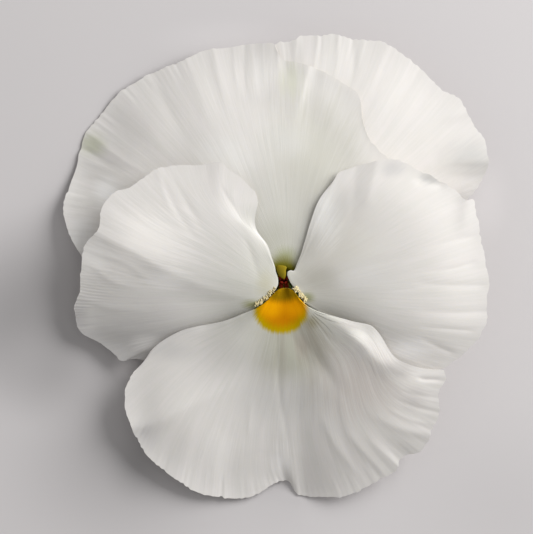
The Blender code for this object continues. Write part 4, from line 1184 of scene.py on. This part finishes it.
def add_spur(piece, settings):
    """The hollow spur: a second grid, wrapped into a tube, joined to the foot of the lip's claw."""
    front = front_angles(np.linspace(0, 1, settings.columns + 1))
    back = np.linspace(front[-1], front[0] - 2 * math.pi, settings.columns // 4 + 1)[1:]
    angles = np.concatenate([front, back])
    steps = np.linspace(0, 1, SPUR_RINGS)
    centres = even_curve(SPUR_PATH, steps)
    tilts = np.interp(steps, [0, 0.25], [SPUR_MOUTH[1], SPUR_TILT])
    past = np.clip(steps - SPUR_BLUNT, 0, 1) / (1 - SPUR_BLUNT)
    radii = SPUR_RADIUS * np.sqrt(np.clip(1 - past**2, 0, 1))
    rings = [spur_ring(c, tilt, r, angles) for c, tilt, r in zip(centres, tilts, radii)]
    points = np.array(rings[::-1])
    around = np.interp(angles, sorted((angles[0], angles[-1])), (1, 0))
    lengths = np.linspace(-0.6, -0.1, len(points))
    spur = add_grid("spur", len(angles) - 1, len(points) - 1)
    shape_grid(spur, points, np.stack(np.meshgrid(around, lengths), -1))
    weigh_grid(spur, np.ones(points.shape[:2]))
    select_only(piece)
    spur.select_set(True)
    bpy.ops.object.join()
    in_edit_mode((bpy.ops.mesh.remove_doubles, {"threshold": 1e-6}))


class VIOLA_OT_petals(ViolaOperator, bpy.types.Operator):
    """Make the five petals, from the back one to the lip, each laid on those behind it"""

    bl_idname = "viola.petals"
    bl_label = "Petals"

    def execute(self, context):
        settings = context.scene.viola.petal
        ground = Ground()
        for name, petal in PETALS.items():
            points, coordinates = petal_sheet(petal, ground, settings)
            piece = add_grid(name + "_tissue", points.shape[1] - 1, points.shape[0] - 1)
            shape_grid(piece, points, coordinates)
            margin = 1 - np.abs(2 * coordinates[..., 0] - 1)
            thin = ease((coordinates[..., 1] - THIN_START) / (1 - THIN_START))
            thin = np.maximum(thin, 1 - ease(margin / THIN_MARGIN))
            weigh_grid(piece, 1 - (1 - settings.rim_share) * thin)
            if name == LIP:
                add_spur(piece, settings)
            apply_thickness(piece, settings.thickness)
            lines = line_length(points[-1]) / VEIN_WIDTH
            foot_reach = UPPER_FOOT if "upper" in name else OTHER_FOOT
            material = petal_material(name, lines, settings, TINTS_PAINTED_SHADE_AND_LIGHT[name], foot_reach)
            finish_piece(piece, material, "petal", name)
        return {"FINISHED"}


class VIOLA_OT_beard(ViolaOperator, bpy.types.Operator):
    """Set the club-shaped hairs along the lower half of both side petals' lips"""

    bl_idname = "viola.beard"
    bl_label = "Beard"

    def execute(self, context):
        settings = context.scene.viola.heart
        material, _, shader = new_material("beard", 0.5, 0.2, 0.3 * MM)
        shader.inputs["Base Color"].default_value = (*settings.hair, 1.0)
        random = np.random.default_rng(BEARD_SEED)
        for name, line in BEARDS.items():
            hairs = []
            for t in np.sort(random.uniform(0, 1, settings.hairs)):
                x, y, inward = even_curve(line, [t])[0]
                turn = math.radians(inward + random.normal(0, HAIR_SWAY))
                out = np.array([math.cos(turn), math.sin(turn), 0.0])
                root = np.array([x, y, HAIR_ROOT]) - out * random.uniform(0.0, 0.5)
                length = settings.hair_length / MM * random.uniform(0.7, 1.1)
                tip = root + out * length * 0.8 + np.array([0, 0, length * random.uniform(0.35, 0.75)])
                bend = (root + tip) / 2 + np.array([0, 0, 0.18 * length])
                knob = settings.hair_radius / MM * random.uniform(0.8, 1.15)
                path = even_curve([root, bend, tip], np.linspace(0, 1, len(HAIR_SHAPE)))
                rings = [(p, knob * share, knob * share) for p, share in zip(path, HAIR_SHAPE)]
                hairs.append(tube(name, rings, 8))
            join_pieces(hairs)
            finish_piece(hairs[0], material, "petal")
        return {"FINISHED"}


class VIOLA_OT_pistil(ViolaOperator, bpy.types.Operator):
    """Make the ovary, its bent style and the broad head of the stigma"""

    bl_idname = "viola.pistil"
    bl_label = "Pistil"

    def execute(self, context):
        settings = context.scene.viola.heart
        piece = tube("pistil_tissue", smooth_stations(PISTIL, 60), 32)
        material = banded_material("pistil", 0.7, settings.tip, settings.stigma, 8.15, 8.32)
        finish_piece(piece, material, "pistil", "pistil")
        return {"FINISHED"}


class VIOLA_OT_stamens(ViolaOperator, bpy.types.Operator):
    """Close the five anthers round the style, with nectar horns on the lower two"""

    bl_idname = "viola.stamens"
    bl_label = "Stamens"

    def execute(self, context):
        settings = context.scene.viola.heart
        material = banded_material("anther", 0.8, settings.anther, settings.tip, 7.1, 7.35)
        low, high = STAMEN[0][0], STAMEN[-1][0]
        for name, angle in STAMENS.items():
            turn = math.radians(angle)
            rings = []
            for height, out, width, depth in STAMEN:
                lean = (height - low) / (high - low)
                x = HEART[0] + (ANTHER_RING[0] - HEART[0]) * lean + out * math.cos(turn)
                y = HEART[1] + (ANTHER_RING[1] - HEART[1]) * lean + out * math.sin(turn)
                rings.append(((x, y, height), width / 2, depth / 2))
            pieces = [tube(name + "_tissue", smooth_stations(rings, 40), 24, turn + math.pi / 2)]
            if "lower" in name:
                side = -1 if "left" in name else 1
                path = [((side * x, y, z), half, half * HORN_FLATNESS) for y, z, x, half in HORN]
                pieces.append(tube(name + "_horn", smooth_stations(path, 30), 20))
                join_pieces(pieces)
            finish_piece(pieces[0], material, "anther", name)
        return {"FINISHED"}


class VIOLA_OT_sepals(ViolaOperator, bpy.types.Operator):
    """Make the five cupped sepals with the ears behind them"""

    bl_idname = "viola.sepals"
    bl_label = "Sepals"

    def execute(self, context):
        settings = context.scene.viola.green
        material = leaf_material("sepal", 14.0, settings)
        t = np.linspace(0, 1, 61)
        out, height, width = even_curve(SEPAL, t).T
        u = np.linspace(0, 1, 25)
        across = 2 * u - 1
        for name, angle in SEPALS.items():
            turn = math.radians(angle)
            side = across[None] * width[:, None] / 2
            cup = SEPAL_CUP * (across**2)[None] * (width[:, None] / SEPAL_WIDEST)
            rib = -SEPAL_RIB[0] * np.exp(-((across / SEPAL_RIB[1]) ** 2))[None]
            x = HEART[0] + out[:, None] * math.cos(turn) + side * math.sin(turn)
            y = HEART[1] + out[:, None] * math.sin(turn) - side * math.cos(turn)
            points = np.stack([x, y, height[:, None] + cup + rib], -1)
            piece = add_grid(name + "_tissue", len(u) - 1, len(t) - 1)
            shape_grid(piece, points, np.stack(np.meshgrid(u, t), -1))
            apply_thickness(piece, SEPAL_THICKNESS * MM)
            finish_piece(piece, material, "sepal", name)
        return {"FINISHED"}


class VIOLA_OT_stalk(ViolaOperator, bpy.types.Operator):
    """Make the receptacle and the hooked stalk with its cut end"""

    bl_idname = "viola.stalk"
    bl_label = "Stalk"

    def execute(self, context):
        settings = context.scene.viola.green
        rings = [((HEART[0], HEART[1], height), radius) for height, radius in RECEPTACLE]
        course = even_curve(STALK_PATH, np.linspace(0, 1, 30)[1:])
        rings += [(tuple(place), STALK_RADIUS) for place in course]
        piece = tube("flower_stalk_tissue", [(p, r, r) for p, r in rings], 36)
        material, tree, shader = new_material("stalk", 0.5)
        grain = tissue(tree, 18.0, 2.0)
        colour = mix_colour(tree, grain.outputs["Veins"], tuple(settings.stalk), tuple(settings.sepal))
        _, along = sheet_place(tree)
        colour = mix_colour(tree, range_node(tree, along, 0.985, 0.99), colour, tuple(settings.cut))
        tree.links.new(colour, shader.inputs["Base Color"])
        bump(tree, shader, grain.outputs["Height"], 0.5, 0.1 * MM)
        finish_piece(piece, material, "stalk", "flower_stalk")
        return {"FINISHED"}


class VIOLA_OT_stage(ViolaOperator, bpy.types.Operator):
    """Set the pale paper with its painted shadows and painted light, the soft lights and the camera above
    the blossom
    """

    bl_idname = "viola.stage"
    bl_label = "Stage"

    def execute(self, context):
        settings = context.scene.viola.stage
        deselect_all()
        bpy.ops.mesh.primitive_plane_add(size=PAPER_SIZE, location=(0, 0, 0))
        paper = context.object
        paper.name = "paper"
        material, tree, shader = new_material("paper", 0.9)
        colour = tuple(settings.paper)
        # Each oval paints shadow on the paper where its share is below 1, and light where it is above 1.
        for place, radii, share in PAPER_PAINTED_SHADOW_AND_LIGHT:
            shade = tuple(share * part for part in settings.paper)
            colour = mix_colour(tree, spot_mask(tree, place, radii, 0.0, 1.0), colour, shade)
        tree.links.new(colour, shader.inputs["Base Color"])
        paper.data.materials.append(material)
        target = Vector(VIEW_CENTRE) * MM
        lamp = bpy.data.lights.new("key", "AREA")
        lamp.shape = "DISK"
        lamp.size = KEY_SIZE
        lamp.energy = settings.key_power
        key = bpy.data.objects.new("key", lamp)
        key.location = KEY_PLACE
        key.rotation_euler = (Vector(key.location) - target).to_track_quat("Z", "Y").to_euler()
        context.scene.collection.objects.link(key)
        world = bpy.data.worlds.new("sky")
        world.use_nodes = True
        sky = world.node_tree.nodes["Background"]
        sky.inputs["Color"].default_value = (1, 1, 1, 1)
        sky.inputs["Strength"].default_value = settings.fill
        context.scene.world = world
        eye = bpy.data.cameras.new("camera")
        camera = bpy.data.objects.new("camera", eye)
        camera.location = target + Vector((0, 0, settings.camera_height))
        eye.sensor_width = 36.0
        eye.lens = eye.sensor_width * settings.camera_height / (VIEW_WIDTH * MM)
        eye.clip_start = 0.01
        context.scene.collection.objects.link(camera)
        context.scene.camera = camera
        context.scene.view_settings.view_transform = "Standard"
        return {"FINISHED"}


STEPS = (
    VIOLA_OT_petals,
    VIOLA_OT_beard,
    VIOLA_OT_pistil,
    VIOLA_OT_stamens,
    VIOLA_OT_sepals,
    VIOLA_OT_stalk,
    VIOLA_OT_stage,
)
CLASSES = (
    ViolaPetalSettings,
    ViolaHeartSettings,
    ViolaGreenSettings,
    ViolaStageSettings,
    ViolaSettings,
    *STEPS,
)


class VIOLA_PT_panel(bpy.types.Panel):
    """The blossom's sizes and colours, and a button for each group of pieces"""

    bl_idname = "VIOLA_PT_panel"
    bl_label = "White viola"
    bl_space_type = "VIEW_3D"
    bl_region_type = "UI"
    bl_category = "Viola"

    def draw(self, context):
        settings = context.scene.viola
        for part in (settings.petal, settings.heart, settings.green, settings.stage):
            box = self.layout.box()
            for name in part.bl_rna.properties.keys():
                if name not in {"rna_type", "name"}:
                    box.prop(part, name)
        for step in STEPS:
            self.layout.operator(step.bl_idname)


def register():
    for made in (*CLASSES, VIOLA_PT_panel):
        bpy.utils.register_class(made)
    bpy.types.Scene.viola = PointerProperty(type=ViolaSettings)


def unregister():
    del bpy.types.Scene.viola
    for made in reversed((*CLASSES, VIOLA_PT_panel)):
        bpy.utils.unregister_class(made)


def main():
    register()
    bpy.ops.viola.petals()
    bpy.ops.viola.beard()
    bpy.ops.viola.pistil()
    bpy.ops.viola.stamens()
    bpy.ops.viola.sepals()
    bpy.ops.viola.stalk()
    bpy.ops.viola.stage()


if __name__ == "__main__":
    main()
